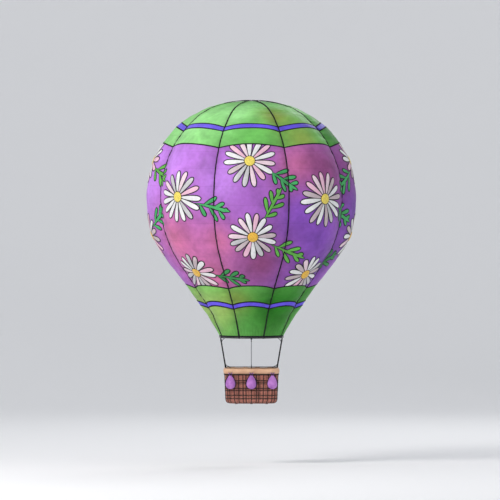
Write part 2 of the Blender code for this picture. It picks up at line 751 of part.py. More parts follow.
def make_wall():
    """The wicker tub: an open box with round corners, thickened inwards."""
    top = RIM_FOOT_Z - SEAT_GAP - WALL_LEAN_RISE
    foot = BASKET_FOOT_Z + SKID_HEIGHT
    bm = bmesh.new()
    bmesh.ops.create_cube(bm, size=2.0)
    for vert in bm.verts:
        half = WALL_HALF_TOP if vert.co.z > 0 else WALL_HALF_FOOT
        vert.co = (vert.co.x * half[0], vert.co.y * half[1], top if vert.co.z > 0 else foot)
    upright = [edge for edge in bm.edges if abs(edge.verts[0].co.z - edge.verts[1].co.z) > 0.5]
    bmesh.ops.bevel(bm, geom=upright, offset=WALL_CORNER, segments=5, profile=0.5, affect="EDGES")
    lower = [edge for edge in bm.edges if all(abs(v.co.z - foot) < 1e-4 for v in edge.verts)]
    bmesh.ops.bevel(bm, geom=lower, offset=WALL_FOOT_CORNER, segments=3, profile=0.5, affect="EDGES")
    lid = [face for face in bm.faces if all(v.co.z > top - 1e-4 for v in face.verts)]
    bmesh.ops.delete(bm, geom=lid, context="FACES_ONLY")
    wall = mesh_object("basket_wall", bm, "wicker")
    shell = wall.modifiers.new("thickness", "SOLIDIFY")
    shell.thickness = WALL_THICKNESS
    shell.offset = -1
    shell.use_even_offset = True
    boolean(wall, bag_hooks(), "UNION")


def make_floor():
    """The plywood floor inside the tub, and three wooden skids on cross battens under it."""
    foot = BASKET_FOOT_Z + SKID_HEIGHT + WALL_THICKNESS + SEAT_GAP
    bm = bmesh.new()
    bmesh.ops.create_cube(bm, size=2.0)
    bmesh.ops.scale(bm, verts=bm.verts, vec=(FLOOR_HALF[0], FLOOR_HALF[1], FLOOR_THICKNESS / 2))
    upright = [edge for edge in bm.edges if abs(edge.verts[0].co.z - edge.verts[1].co.z) > 1e-4]
    bmesh.ops.bevel(bm, geom=upright, offset=0.12, segments=4, profile=0.5, affect="EDGES")
    bmesh.ops.translate(bm, verts=bm.verts, vec=(0, 0, foot + FLOOR_THICKNESS / 2))
    mesh_object("basket_floor", bm, "plywood")
    height = SKID_HEIGHT - SEAT_GAP
    centre = BASKET_FOOT_Z + height / 2
    pieces = [block("batten", (0, y, centre + 0.004), (1.19, 0.09, height - 0.008), "plywood") for y in (-0.38, 0.38)]
    pieces += [block("skid", (x, 0, centre), (0.09, 1.10, height), "plywood") for x in (-0.55, 0.0, 0.55)]
    pieces.sort(key=lambda piece: piece.name.startswith("batten"))
    union("skid_frame", pieces, "plywood")


def tank_profile():
    """(radius, height) down the outside of a tank: its valve, its domed shoulder, two straps and its foot."""
    profile = [(0.0, TANK_HEIGHT + VALVE_HEIGHT), (0.028, TANK_HEIGHT + VALVE_HEIGHT), (0.028, TANK_HEIGHT + 0.055),
               (0.016, TANK_HEIGHT + 0.050), (0.016, TANK_HEIGHT + 0.020), (0.034, TANK_HEIGHT + 0.015)]
    for step in range(4):
        angle = math.radians(78 - 26 * step)
        profile.append((TANK_RADIUS * math.cos(angle), TANK_HEIGHT - TANK_DOME * (1 - math.sin(angle))))
    for height in TANK_STRAPS:
        top, foot, out = height + STRAP_WIDTH / 2, height - STRAP_WIDTH / 2, TANK_RADIUS + STRAP_THICKNESS
        profile += [(TANK_RADIUS, top), (out, top), (out, foot), (TANK_RADIUS, foot)]
    return profile + [(TANK_RADIUS, 0.05), (TANK_RADIUS - 0.02, 0.0), (0.0, 0.0)]


def hose_route(side, x, y, start):
    """The hose's way: out of the valve, over the rim, up beside a back riser, and along the frame bar."""
    under_bar = RING_Z - FRAME_TUBE - HOSE_RADIUS - 0.0015
    return [
        (x, y, start),
        (x, y, start + 0.050),
        (side * 0.60, 0.39, start + 0.150),
        (side * 0.70, 0.45, RIM_TOP_Z - 0.100),
        (side * 0.80, 0.485, RIM_TOP_Z + 0.010),
        (side * 0.90, 0.498, RIM_TOP_Z + 0.060),
        (side * 0.948, 0.476, RIM_TOP_Z + 0.170),
        (side * 1.010, 0.396, (RIM_TOP_Z + RING_Z) / 2 - 0.040),
        (side * 1.070, 0.322, RING_Z - 0.260),
        (side * 1.052, 0.358, RING_Z - 0.150),
        (side * 0.980, 0.430, RING_Z - 0.070),
        (side * 0.870, 0.466, under_bar - 0.005),
        (side * 0.740, FRAME_BAR_Y, under_bar),
        (side * 0.55, FRAME_BAR_Y, under_bar),
    ]


def make_tanks():
    """Two upright fuel tanks in the back corners, and the hoses from their valves up to the burner frame."""
    floor = BASKET_FOOT_Z + SKID_HEIGHT + WALL_THICKNESS + FLOOR_THICKNESS + 2 * SEAT_GAP
    for number, side in ((1, -1), (2, 1)):
        x, y = side * TANK_PLACE[0], TANK_PLACE[1]
        turned(f"fuel_tank_{number}", tank_profile(), (x, y, floor), "bright_steel", steps=16)
        start = floor + TANK_HEIGHT + VALVE_HEIGHT + SEAT_GAP
        tube(f"fuel_hose_{number}", smooth_points(hose_route(side, x, y, start), 0.085), HOSE_RADIUS, "black_hose")


def bag_places():
    """(x, side) of the bags: three on the front wall, side -1, and three on the back."""
    return [(step * BAG_SPACING, side) for side in (-1, 1) for step in (-1, 0, 1)]


def bag_hooks():
    """Steel hooks rooted inside the wicker under the rim, that rise in front of it to hold the bags' loops."""
    hooks = []
    rod_z = BAG_PIVOT_Z - BAG_LOOP_TUBE - HOOK_RADIUS - SEAT_GAP
    root_z = RIM_FOOT_Z - HOOK_ROOT_DROP
    for x, side in bag_places():
        root = side * (WALL_HALF_TOP[1] - WALL_THICKNESS / 2)
        seat = side * BAG_PIVOT_Y
        points = [(x, root, root_z), (x, seat - side * 0.065, root_z), (x, seat - side * 0.030, rod_z),
                  (x, seat + side * 0.025, rod_z), (x, seat + side * HOOK_TIP, rod_z + 0.012),
                  (x, seat + side * HOOK_TIP, rod_z + 0.030)]
        hooks.append(tube("hook", points, HOOK_RADIUS, "bright_steel", resolution=1))
    return join("bag_hooks", hooks, None)


def bag_profile():
    """(radius, height) of a hanging teardrop bag, from its tied neck down to its full round foot."""
    neck, neck_z = 0.030, -2 * BAG_LOOP_RADIUS
    points = [(0.0, neck_z), (neck, neck_z)]
    for step in range(1, 9):
        down = 1 - (1 - step / 8) ** 1.6
        radius = 1.547 * BAG_HALF_WIDTH * down**0.6 * math.sqrt(1 - down**2.8)
        points.append((radius, neck_z - 0.02 - (BAG_LENGTH + neck_z - 0.02) * down))
    return points


def make_bags():
    """Teardrop ballast bags, each hanging from its hook by a rope loop tied round its neck."""
    for number, (x, side) in enumerate(bag_places(), 1):
        pivot = Vector((x, side * BAG_PIVOT_Y, BAG_PIVOT_Z))
        bag = turned("bag", bag_profile(), pivot, "bag_violet", steps=14)
        bag.scale = (1.0, BAG_DEPTH_SHARE, 1.0)
        middle = pivot - Vector((0, 0, BAG_LOOP_RADIUS))
        loop = ring("loop", middle, BAG_LOOP_RADIUS, BAG_LOOP_TUBE, "black_webbing", segments=12, sides=6)
        loop.rotation_euler = (math.pi / 2, 0, 0)
        union(f"sandbag_{number}", [bag, loop], "bag_violet")


clear_scene()
PARTS = make_collection("hot_air_balloon")
HELPERS = make_collection("cutters_and_guides")
MATERIALS = make_materials()
EDGES = envelope_edges()
make_envelope(EDGES)
make_load_tapes(EDGES)
make_parachute(EDGES)
make_load_ring()
make_burner_frame()
make_gimbal()
make_burner()
make_risers()
make_rim()
make_wall()
make_floor()
make_tanks()
make_bags()
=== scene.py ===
"""The looks of a small hot air balloon: sewn and gathered envelope cloth with daisies, webbing over its seams,
a wicker basket with a leather rim, tied ballast bags, and a double burner in its gimbal.

Metres, +Z up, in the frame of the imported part. The front faces -Y, and an azimuth runs from the front towards +X.
A place on the envelope is an azimuth and a length, measured down the cloth from the crown.
"""

import math
import random

import bmesh
import bpy
import numpy as np
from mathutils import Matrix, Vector


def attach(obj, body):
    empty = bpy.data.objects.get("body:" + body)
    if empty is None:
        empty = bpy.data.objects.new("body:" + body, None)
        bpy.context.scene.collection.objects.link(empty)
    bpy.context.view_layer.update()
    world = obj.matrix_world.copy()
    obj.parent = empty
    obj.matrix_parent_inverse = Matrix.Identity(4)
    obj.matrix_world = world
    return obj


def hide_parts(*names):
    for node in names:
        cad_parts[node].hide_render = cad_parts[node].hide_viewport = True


# Envelope, as in the part
GORES = 8
GORE_ANGLE = math.tau / GORES
ENVELOPE_RADIUS = 3.75
CROWN_Z = 3.46
MOUTH_Z = -4.99
MOUTH_RADIUS = 1.13
WAIST_RADIUS = 2.74
WAIST_Z = -2.64
WAIST_SLOPE = 0.795
MOUTH_SLOPE = 0.51
CROWN_HANDLE = 2.75
EQUATOR_HANDLES = (1.41, 1.29)
WAIST_HANDLES = (0.93, 0.73)
MOUTH_HANDLE = 0.88
LOBE_DEPTH = 0.07
LOBE_FULL_RADIUS = 2.6
LOBE_MOUTH_FADE = 0.9
CROWN_OPENING_RADIUS = 1.00
PARACHUTE_RADIUS = 1.12
PARACHUTE_DROP = 0.011
PARACHUTE_BOSS_RADIUS = 0.09
CROWN_RING_RADIUS = 0.075
CROWN_RING_TUBE = 0.010

# Edges between cloth colours: height at the seams, and rise in the middle of a gore
EDGE_HEIGHTS = {
    "upper_stripe_top": (2.524, 0.140),
    "upper_stripe_foot": (2.366, 0.140),
    "flower_top": (1.799, 0.140),
    "flower_foot": (-3.238, 0.110),
    "lower_stripe_top": (-3.820, 0.110),
    "lower_stripe_foot": (-3.978, 0.110),
}
BANDS = (
    ("crown_panels", "opening", "upper_stripe_top", "green"),
    ("upper_stripe", "upper_stripe_top", "upper_stripe_foot", "violet"),
    ("shoulder_panels", "upper_stripe_foot", "flower_top", "green"),
    ("flower_panel", "flower_top", "flower_foot", "flowers"),
    ("waist_panels", "flower_foot", "lower_stripe_top", "green"),
    ("lower_stripe", "lower_stripe_top", "lower_stripe_foot", "violet"),
    ("skirt_panels", "lower_stripe_foot", "mouth", "green"),
)

# Fineness and relief of the cloth. A pucker is its height, reach from the seam, pitch and share of the phase
CLOTH_COLUMNS = 36
BESIDE_SEAM = 0.014
CLOTH_ROW = 0.040
SEWN_PANEL = 0.66
RIPSTOP_PITCH = 0.008
BILLOW = 0.011
SWELL = 0.013
PUCKERS = ((0.0090, 0.20, 0.19, 1.0), (0.0110, 0.48, 0.43, -1.4))
MOUTH_PLEAT = 0.0075
CROWN_PLEAT = 0.0060

# Webbing: its section as (share of its width, lift), and how far each kind stands off
TAPE_SECTION = ((-0.5, 0.0005), (-0.46, 0.0040), (-0.15, 0.0050), (0.15, 0.0050), (0.46, 0.0040), (0.5, 0.0005))
LOAD_TAPE_WIDTH = 0.054
SEAM_TAPE_WIDTH = 0.050
LOAD_TAPE_LIFT = 3.6
SEAM_TAPE_LIFT = 1.6

# Load ring, burner frame, gimbal and burner, as in the part
RING_TUBE = 0.032
RING_RADIUS = 1.129
RING_Z = MOUTH_Z - RING_TUBE
LUG_FOOT_Z = RING_Z - RING_TUBE - 0.030
FRAME_TUBE = 0.018
FRAME_BAR_Y = 0.47
PIN_RADIUS = 0.009
GIMBAL_RADIUS = 0.35
GIMBAL_TUBE = 0.014
BURNER_CAN_X = 0.125
BURNER_CAN_RADIUS = 0.115
BURNER_CAN_HEIGHT = 0.32
BURNER_CAN_FOOT = 0.035
BURNER_PIN_END = 0.367
GIMBAL_PIN_END = 0.489
JET_HOLE = 0.042
COIL_RADIUS = 0.088
COIL_PITCH = 0.070
COIL_TUBE = 0.0095

# Basket, as in the part
BASKET_FOOT_Z = -7.413
SKID_HEIGHT = 0.030
WALL_FOOT_Z = BASKET_FOOT_Z + SKID_HEIGHT
RIM_TOP_Z = -6.117
RIM_FOOT_Z = -6.354
RIM_HALF = (1.000, 0.790)
RIM_WIDTH = 0.150
RIM_CORNER = 0.260
WALL_HALF_TOP = (0.960, 0.750)
WALL_HALF_FOOT = (0.915, 0.705)
WALL_CORNER = 0.220
WALL_FOOT_CORNER = 0.140
WALL_THICKNESS = 0.030
FLOOR_THICKNESS = 0.012
SEAT_GAP = 0.0003
SIDE_RISER_TOP = (1.100, 0.236)
SIDE_RISER_FOOT = (0.925, 0.450)
MID_RISER_FOOT = 0.715
SIDE_RISER_RADIUS = 0.0225
MID_RISER_RADIUS = 0.014

# Weave: upright stakes, rows of cane, dark ribs and twisted bands over them
STAKES = 60
WEAVE_STEPS = 4
WEAVE_POINTS = STAKES * WEAVE_STEPS
WEAVE_DEPTH = 0.0145
CANE_PITCH = 0.0205
CANE_HALF_WIDTH = 0.0080
CANE_WAVE = 0.0055
STAKE_RADIUS = 0.0075
STAKE_SPREAD = 0.0165
RIB_STEPS = (0.19, 0.095, 0.18, 0.165, 0.175, 0.11, 0.205)
RIB_CYCLES = 6
RIB_PLACES = 1440
RIB_RADIUS = 0.0140
WALE_HEIGHTS = (0.018, 0.175, 0.285, 0.455, 0.525, 0.735, 0.815)
WALE_STEPS = 384
WALE_TURNS = 64
WALE_HALF_WIDTH = 0.0095

# Rim pad
RIM_POINTS = 560
RIM_SEAMS = 14
RIM_FIRST_SEAM = 20
RIM_DENT = 0.006
RIM_DENT_WIDTH = 0.015
RIM_SHELL_SHARE = 0.945

# Fuel tanks and hoses, as in the part
TANK_PLACE = (0.56, 0.35)
TANK_RADIUS = 0.17
TANK_HEIGHT = 0.74
TANK_DOME = 0.06
TANK_STRAPS = (0.54, 0.22)
VALVE_HEIGHT = 0.085
HOSE_RADIUS = 0.011

# Ballast bags, as in the part
BAG_SPACING = 0.755
BAG_HALF_WIDTH = 0.185
BAG_DEPTH_SHARE = 0.70
BAG_PIVOT_Z = -6.280
BAG_PIVOT_Y = 0.890
BAG_LENGTH = 0.580
BAG_LOOP_RADIUS = 0.026
BAG_LOOP_TUBE = 0.007
BAG_PIPING = 0.0175
HOOK_RADIUS = 0.006
HOOK_ROOT_DROP = 0.042

# Padded pieces as cloth
CLOTH_POINT_MASS = 0.014
CLOTH_BENDING = 0.3
CLOTH_PRESSURE = 20.0
CLOTH_FRAMES = 14

# Cloth colours, linear
PALE_GREEN = (0.330, 0.730, 0.270)
GREEN = (0.145, 0.480, 0.100)
DEEP_GREEN = (0.018, 0.185, 0.010)
OLIVE = (0.250, 0.340, 0.065)
LIME = (0.330, 0.500, 0.130)
VIOLET_STRIPE = (0.140, 0.095, 0.780)
LILAC = (0.540, 0.235, 0.780)
ORCHID = (0.360, 0.125, 0.500)
ROSE = (0.620, 0.170, 0.350)
PLUM = (0.310, 0.075, 0.220)
VIOLET = (0.240, 0.080, 0.480)
INDIGO = (0.175, 0.060, 0.360)

# Base colour of each cloth, and soft patches of tint on it: azimuth in degrees, height, reach, colour. The patches are
# partly the cloth's own mottled dye and partly painted light and shade: round the front, paler to the left and darker
# to the right.
CLOTH_TINTS = {
    # Partly painted light and shade: paler greens to the left of the front, deep greens to the right.
    "green": (GREEN, (
        (-60, 2.4, 1.8, PALE_GREEN), (-18, 3.0, 0.8, PALE_GREEN), (2, 2.2, 0.7, GREEN), (24, 2.9, 0.6, OLIVE),
        (40, 2.1, 0.9, OLIVE), (64, 2.0, 0.9, GREEN), (86, 2.3, 1.2, DEEP_GREEN), (130, 2.6, 1.2, GREEN),
        (180, 2.7, 1.2, PALE_GREEN), (-140, 2.4, 1.0, OLIVE), (-70, -3.9, 1.0, LIME), (-38, -4.0, 0.8, LIME),
        (-14, -3.7, 0.6, OLIVE), (0, -4.7, 0.7, GREEN), (26, -3.9, 0.9, DEEP_GREEN), (60, -3.9, 1.7, DEEP_GREEN),
        (110, -4.0, 1.0, GREEN), (165, -3.9, 1.0, LIME), (-140, -4.2, 1.0, DEEP_GREEN),
    )),
    # Painted light and shade: the violet stripes are paler to the left of the front and darker to the right.
    "violet": (VIOLET_STRIPE, ((-60, 2.4, 2.0, (0.17, 0.12, 0.72)), (70, 2.4, 1.6, (0.085, 0.055, 0.45)))),
    # Partly painted light and shade: lilac to the left of the front, plum and indigo to the right.
    "flowers": (ORCHID, (
        (-88, 0.6, 1.9, LILAC), (-56, 1.2, 1.4, LILAC), (-30, 0.9, 0.8, ORCHID), (-52, -1.5, 1.4, ROSE),
        (-34, -2.8, 1.2, ROSE), (-17, 0.6, 0.9, LILAC), (4, 1.2, 0.9, ORCHID), (-19, -1.5, 0.8, ROSE),
        (5, -0.4, 1.2, ORCHID), (8, -2.3, 1.1, PLUM), (30, 1.1, 1.0, ROSE), (48, 0.9, 1.4, PLUM),
        (30, -0.6, 1.0, VIOLET), (42, -1.4, 1.1, VIOLET), (54, -2.6, 1.3, INDIGO), (80, 0.9, 1.3, PLUM),
        (84, -0.6, 1.7, INDIGO), (125, 0.8, 1.6, LILAC), (135, -1.5, 1.5, ROSE), (170, 0.9, 1.4, ROSE),
        (180, -1.6, 1.5, ORCHID), (-155, 0.6, 1.4, PLUM), (-140, -1.8, 1.6, VIOLET), (-120, 1.2, 1.4, LILAC),
    )),
}

# Daisies: gore, height at its centre, sideways shift, radius, petals, and the angles of its leaf sprigs in degrees
DAISIES = (
    (0, 1.34, -0.06, 0.92, 15, (-28,)),
    (0, -1.36, 0.05, 0.86, 15, (-24, 58)),
    (2, 1.30, 0.04, 0.88, 14, (-150, 20)),
    (2, -1.40, -0.05, 0.90, 15, (35,)),
    (4, 1.36, 0.03, 0.88, 15, (-30,)),
    (4, -1.34, -0.04, 0.90, 14, (-155, 40)),
    (6, 1.32, -0.05, 0.90, 15, (-20,)),
    (6, -1.38, 0.05, 0.86, 14, (28, -150)),
    (1, -0.02, -0.05, 1.00, 16, (-22,)),
    (1, -2.72, 0.04, 0.78, 14, (28,)),
    (3, 0.03, 0.05, 0.90, 14, (155, -30)),
    (3, -2.68, -0.04, 0.78, 13, (-28,)),
    (5, 0.02, -0.04, 0.94, 15, (30,)),
    (5, -2.70, 0.03, 0.76, 14, (150,)),
    (7, 0.05, 0.04, 0.94, 15, (-16,)),
    (7, -2.66, -0.05, 0.80, 14, (-8,)),
)
DAISY_OUTLINE = 0.036
PETAL_WIDTH = 0.168
PETAL_START = 0.13
PETAL_TINTS = ((0.86, 0.86, 0.86), (0.86, 0.86, 0.86), (0.84, 0.83, 0.85), (0.88, 0.52, 0.67), (0.87, 0.67, 0.75),
               (0.58, 0.57, 0.59), (0.60, 0.49, 0.52))
CENTRE_TINTS = ((0.98, 0.78, 0.12), (0.98, 0.56, 0.05))
# Leaf sprigs: each lobe's place along the stem, lean in degrees and reach
SPRIG_LOBES = ((0.16, 44, 0.44), (0.28, -40, 0.60), (0.52, 42, 0.56), (0.66, -38, 0.52), (0.92, 36, 0.36),
               (1.04, -34, 0.26))
SPRIG_LENGTH = 1.36
LEAF_WIDTH = 0.118
LEAF_TINTS = ((0.050, 0.420, 0.120), (0.025, 0.260, 0.060), (0.120, 0.470, 0.060))

PHOTO_CENTRE = (-0.050, -1.903)
CAMERA_DISTANCE = 400.0
CAMERA_LENS = 802.7
CAMERA_RISE = math.radians(1.3)


class Look:
    """A material, and short ways of adding nodes to it."""

    def __init__(self, name, colour=(0.8, 0.8, 0.8), roughness=0.5, **surface):
        self.material = bpy.data.materials.new(name)
        self.material.use_nodes = True
        self.tree = self.material.node_tree
        self.surface = self.tree.nodes["Principled BSDF"]
        self.set(Base_Color=(*colour, 1.0), Roughness=roughness, **surface)
        self.place = self.add("TexCoord").outputs["Object"]

    def join(self, socket, value):
        if isinstance(value, bpy.types.NodeSocket):
            self.tree.links.new(value, socket)
        else:
            socket.default_value = value

    def fill(self, node, settings):
        for key, value in settings.items():
            if key[0].islower():
                setattr(node, key, value)
            else:
                self.join(node.inputs[key.replace("_", " ")], value)

    def set(self, **settings):
        self.fill(self.surface, settings)
        return self.material

    def add(self, kind, **settings):
        node = self.tree.nodes.new("ShaderNode" + kind)
        self.fill(node, settings)
        return node

    def math(self, operation, *values):
        node = self.add("Math", operation=operation)
        for socket, value in zip(node.inputs, values):
            self.join(socket, value)
        return node.outputs[0]

    def mix(self, share, first, second, blend="MIX"):
        node = self.add("Mix", data_type="RGBA", blend_type=blend)
        for index, value in zip((0, 6, 7), (share, first, second)):
            self.join(node.inputs[index], (*value, 1.0) if isinstance(value, tuple) else value)
        return node.outputs[2]

    def tinted(self, factor):
        """The mesh's own tint, multiplied."""
        return self.mix(1.0, self.add("Attribute", attribute_name="tint").outputs["Color"], factor, "MULTIPLY")

    def span(self, value, low, high, start=0.0, end=1.0):
        """value from low to high, spread from start to end."""
        return self.add("MapRange", Value=value, From_Min=low, From_Max=high, To_Min=start, To_Max=end).outputs[0]

    def noise(self, scale, detail=3.0, distortion=0.0, place=None):
        return self.add("TexNoise", Vector=place or self.place, Scale=scale, Detail=detail,
                        Distortion=distortion).outputs[0]

    def mottle(self, start, end, *noise):
        """A number that wanders from start to end over the surface."""
        return self.span(self.noise(*noise), 0.3, 0.7, start, end)

    def stretched(self, scale):
        return self.add("Mapping", Vector=self.place, Scale=scale).outputs[0]

    def grain(self, scale, detail, distortion=0.0):
        return self.noise(1.0, detail, distortion, self.stretched(scale))

    def cells(self, scale, **settings):
        return self.add("TexVoronoi", Vector=self.place, Scale=scale, **settings).outputs["Distance"]

    def wave(self, scale, distortion=0.0, way="DIAGONAL"):
        return self.add("TexWave", Vector=self.place, Scale=scale, Distortion=distortion,
                        bands_direction=way).outputs[0]

    def bump(self, height, strength, distance, under=None):
        node = self.add("Bump", Height=height, Strength=strength, Distance=distance)
        if under:
            self.join(node.inputs["Normal"], under)
        return node.outputs[0]

    def lines(self, distance, pitch, low, high):
        """Lines at every pitch of a distance."""
        share = self.math("FRACT", self.math("DIVIDE", distance, pitch))
        return self.span(self.math("ABSOLUTE", self.math("SUBTRACT", share, 0.5)), low, high)


def brighter(colour, factor):
    return tuple(min(1.0, factor * channel) for channel in colour)


def cloth_look():
    """Coated envelope cloth: its tint, softly mottled, with a ripstop grid and faint sewn rows."""
    look = Look("envelope_cloth", Specular_IOR_Level=0.15)
    across, down, _ = look.add("SeparateXYZ", Vector=look.add("UVMap").outputs[0]).outputs
    mottled = look.math("MULTIPLY", look.mottle(0.80, 1.18, 1.3, 6.0, 0.6), look.mottle(0.93, 1.07, 7.0, 4.0))
    seam = look.math("MULTIPLY", look.lines(down, SEWN_PANEL, 0.484, 0.494), 0.14)
    grid = look.math("MAXIMUM", *(look.lines(way, RIPSTOP_PITCH, 0.38, 0.46) for way in (across, down)))
    return look.set(Base_Color=look.mix(seam, look.tinted(mottled), (0.02, 0.01, 0.03)),
                    Normal=look.bump(look.noise(22.0, 5.0, 0.4), 0.22, 0.010, look.bump(grid, 0.25, 0.0006)),
                    Roughness=look.mottle(0.42, 0.6, 5.0))


def webbing_look(name, colour):
    look = Look(name, colour, 0.8, Specular_IOR_Level=0.25)
    return look.set(Base_Color=look.mix(look.noise(9.0), colour, brighter(colour, 2.6)),
                    Normal=look.bump(look.grain((400, 400, 60), 2.0), 0.5, 0.0015))


def petal_look():
    look = Look("petal_cloth", roughness=0.6)
    veins = look.span(look.grain((9, 9, 9), 2.0), 0.3, 0.7, 0.90, 1.04)
    return look.set(Base_Color=look.tinted(veins), Normal=look.bump(look.noise(60.0, 4.0), 0.25, 0.003))


def outline_look():
    look = Look("satin_stitch", (0.008, 0.007, 0.010), 0.6, Specular_IOR_Level=0.3)
    return look.set(Normal=look.bump(look.noise(140.0, 1.0), 0.6, 0.002))


def flower_centre_look():
    look = Look("daisy_centre", roughness=0.65, Sheen_Weight=0.3)
    knots = look.cells(26.0)
    # Painted shade: darker between the raised knots, where the bump dips.
    return look.set(Base_Color=look.tinted(look.span(knots, 0.1, 0.6, 1.06, 0.72)),
                    Normal=look.bump(look.math("SUBTRACT", 1.0, knots), 0.7, 0.012))


def leather_look():
    look = Look("rim_leather", roughness=0.48, Coat_Weight=0.06, Coat_Roughness=0.35)
    pores = look.span(look.cells(150.0, feature="DISTANCE_TO_EDGE"), 0.0, 0.12)
    scuff = look.math("MULTIPLY", look.span(look.noise(14.0, 8.0, 1.2), 0.55, 0.72), 0.30)
    colour = look.mix(look.mottle(0.0, 1.0, 3.2, 6.0, 0.5), (0.61, 0.322, 0.192), (0.80, 0.500, 0.312))
    creases = look.bump(look.noise(9.0, 6.0, 1.0), 0.25, 0.012)
    return look.set(Base_Color=look.mix(scuff, colour, (0.42, 0.20, 0.11)),
                    Normal=look.bump(pores, 0.30, 0.0015, creases), Roughness=look.mottle(0.38, 0.6, 20.0, 4.0))


def wicker_look(name, dark, pale):
    look = Look(name, roughness=0.55, Coat_Weight=0.08, Coat_Roughness=0.3)
    streak = look.grain((28, 28, 28), 6.0, 0.3)
    return look.set(Base_Color=look.tinted(look.mix(look.span(streak, 0.25, 0.75), dark, pale)),
                    Normal=look.bump(look.grain((130, 130, 130), 4.0), 0.45, 0.004),
                    Roughness=look.span(streak, 0.3, 0.7, 0.42, 0.68))


def canvas_look(name, dark, pale):
    look = Look(name, roughness=0.72, Sheen_Weight=0.1)
    weave = look.math("ADD", look.wave(90.0, 0.6, "Z"), look.wave(90.0, 0.6, "X"))
    folds = look.bump(look.noise(16.0, 5.0, 0.6), 0.30, 0.012)
    return look.set(Base_Color=look.mix(look.mottle(0.0, 1.0, 5.0, 5.0, 0.4), dark, pale),
                    Normal=look.bump(weave, 0.25, 0.0015, folds))


def rope_look(colour):
    look = Look("rope", roughness=0.85, Specular_IOR_Level=0.3)
    lay = look.wave(70.0, 1.0)
    # Painted light and shade: paler on the strands' crests, darker in the grooves of the lay.
    return look.set(Base_Color=look.mix(lay, colour, brighter(colour, 2.2)), Normal=look.bump(lay, 0.6, 0.003))


def paint_look(colour, worn):
    """Satin paint with small chips."""
    look = Look("ring_paint", roughness=0.38, Coat_Weight=0.25, Coat_Roughness=0.2)
    chips = look.span(look.noise(26.0, 8.0, 0.8), 0.66, 0.70)
    return look.set(Base_Color=look.mix(chips, colour, worn), Metallic=chips,
                    Roughness=look.mottle(0.30, 0.48, 12.0, 4.0), Normal=look.bump(look.noise(180.0, 2.0), 0.12, 0.001))


def metal_look(name, colour, roughness=0.28, grain=(6, 6, 220), stain=None):
    """Brushed metal, stained by heat where heights are given."""
    look = Look(name, roughness=roughness, Metallic=1.0)
    brushed = look.grain(grain, 4.0)
    base = look.mix(1.0, colour, look.span(brushed, 0.3, 0.7, 0.82, 1.08), "MULTIPLY")
    if stain:
        low, high = stain
        height = look.add("SeparateXYZ", Vector=look.place).outputs[2]
        uneven = look.math("ADD", height, look.span(look.noise(14.0, 4.0), 0.0, 1.0, -0.05, 0.05))
        base = look.mix(look.span(uneven, low, (low + high) / 2), base, (0.42, 0.22, 0.07))
        base = look.mix(look.span(uneven, (low + high) / 2, high), base, (0.07, 0.07, 0.16))
    return look.set(Base_Color=base, Roughness=look.span(brushed, 0.3, 0.7, roughness - 0.08, roughness + 0.12),
                    Normal=look.bump(brushed, 0.12, 0.001))


def rubber_look():
    look = Look("hose_rubber", (0.012, 0.012, 0.013), 0.5)
    return look.set(Normal=look.bump(look.wave(110.0), 0.5, 0.0015), Roughness=look.mottle(0.4, 0.6, 30.0))


def plywood_look():
    look = Look("oiled_plywood", roughness=0.5)
    grain = look.grain((1.6, 14, 14), 8.0, 2.2)
    rings = look.add("TexWave", Vector=look.stretched((0.4, 2.2, 2.2)), Scale=2.0, Distortion=7.0, Detail=3.0)
    colour = look.mix(look.math("MULTIPLY", rings.outputs[0], grain), (0.42, 0.245, 0.115), (0.22, 0.105, 0.045))
    return look.set(Base_Color=colour, Normal=look.bump(grain, 0.2, 0.003),
                    Roughness=look.span(grain, 0.3, 0.7, 0.4, 0.62))


def plastic_look(colour):
    look = Look("red_handle", colour, 0.35)
    return look.set(Base_Color=look.mix(look.noise(30.0, 4.0), colour, brighter(colour, 0.7)),
                    Normal=look.bump(look.noise(240.0), 0.1, 0.0008))


def make_looks():
    return {
        "cloth": cloth_look(),
        "webbing": webbing_look("webbing", (0.006, 0.0055, 0.007)),
        "grey_webbing": webbing_look("grey_webbing", (0.085, 0.085, 0.095)),
        "petal": petal_look(),
        "outline": outline_look(),
        "centre": flower_centre_look(),
        "leather": leather_look(),
        "wicker": wicker_look("wicker", (0.400, 0.140, 0.098), (0.660, 0.260, 0.190)),
        "stakes": wicker_look("wicker_stakes", (0.010, 0.005, 0.004), (0.040, 0.016, 0.011)),
        "skids": wicker_look("stained_ash", (0.010, 0.006, 0.005), (0.035, 0.018, 0.013)),
        # Painted shade: a dark brown for the inside of the weave and its stakes, seen in the gaps between canes, and
        # for the burner cans' vent slots.
        "core": wicker_look("wicker_core", (0.130, 0.045, 0.030), (0.260, 0.095, 0.068)),
        "canvas": canvas_look("bag_canvas", (0.335, 0.106, 0.435), (0.558, 0.240, 0.645)),
        # Painted shade: the gathered frill at the bag's neck is a darker canvas than the bag.
        "gathers": canvas_look("bag_gathers", (0.290, 0.095, 0.390), (0.480, 0.200, 0.570)),
        "rope": rope_look((0.014, 0.009, 0.018)),
        "ring": paint_look((0.016, 0.016, 0.019), (0.35, 0.35, 0.36)),
        "steel": metal_look("brushed_steel", (0.60, 0.60, 0.61)),
        "tank": metal_look("tank_steel", (0.62, 0.62, 0.63), 0.32),
        "can": metal_look("burner_steel", (0.60, 0.58, 0.56), 0.30, stain=(RING_Z + 0.16, RING_Z + 0.40)),
        "brass": metal_look("burner_brass", (0.78, 0.54, 0.22), 0.30, (30, 30, 30)),
        "copper": metal_look("coil_copper", (0.62, 0.30, 0.16), 0.34, (40, 40, 40)),
        "rubber": rubber_look(),
        "plywood": plywood_look(),
        "red": plastic_look((0.50, 0.02, 0.015)),
    }


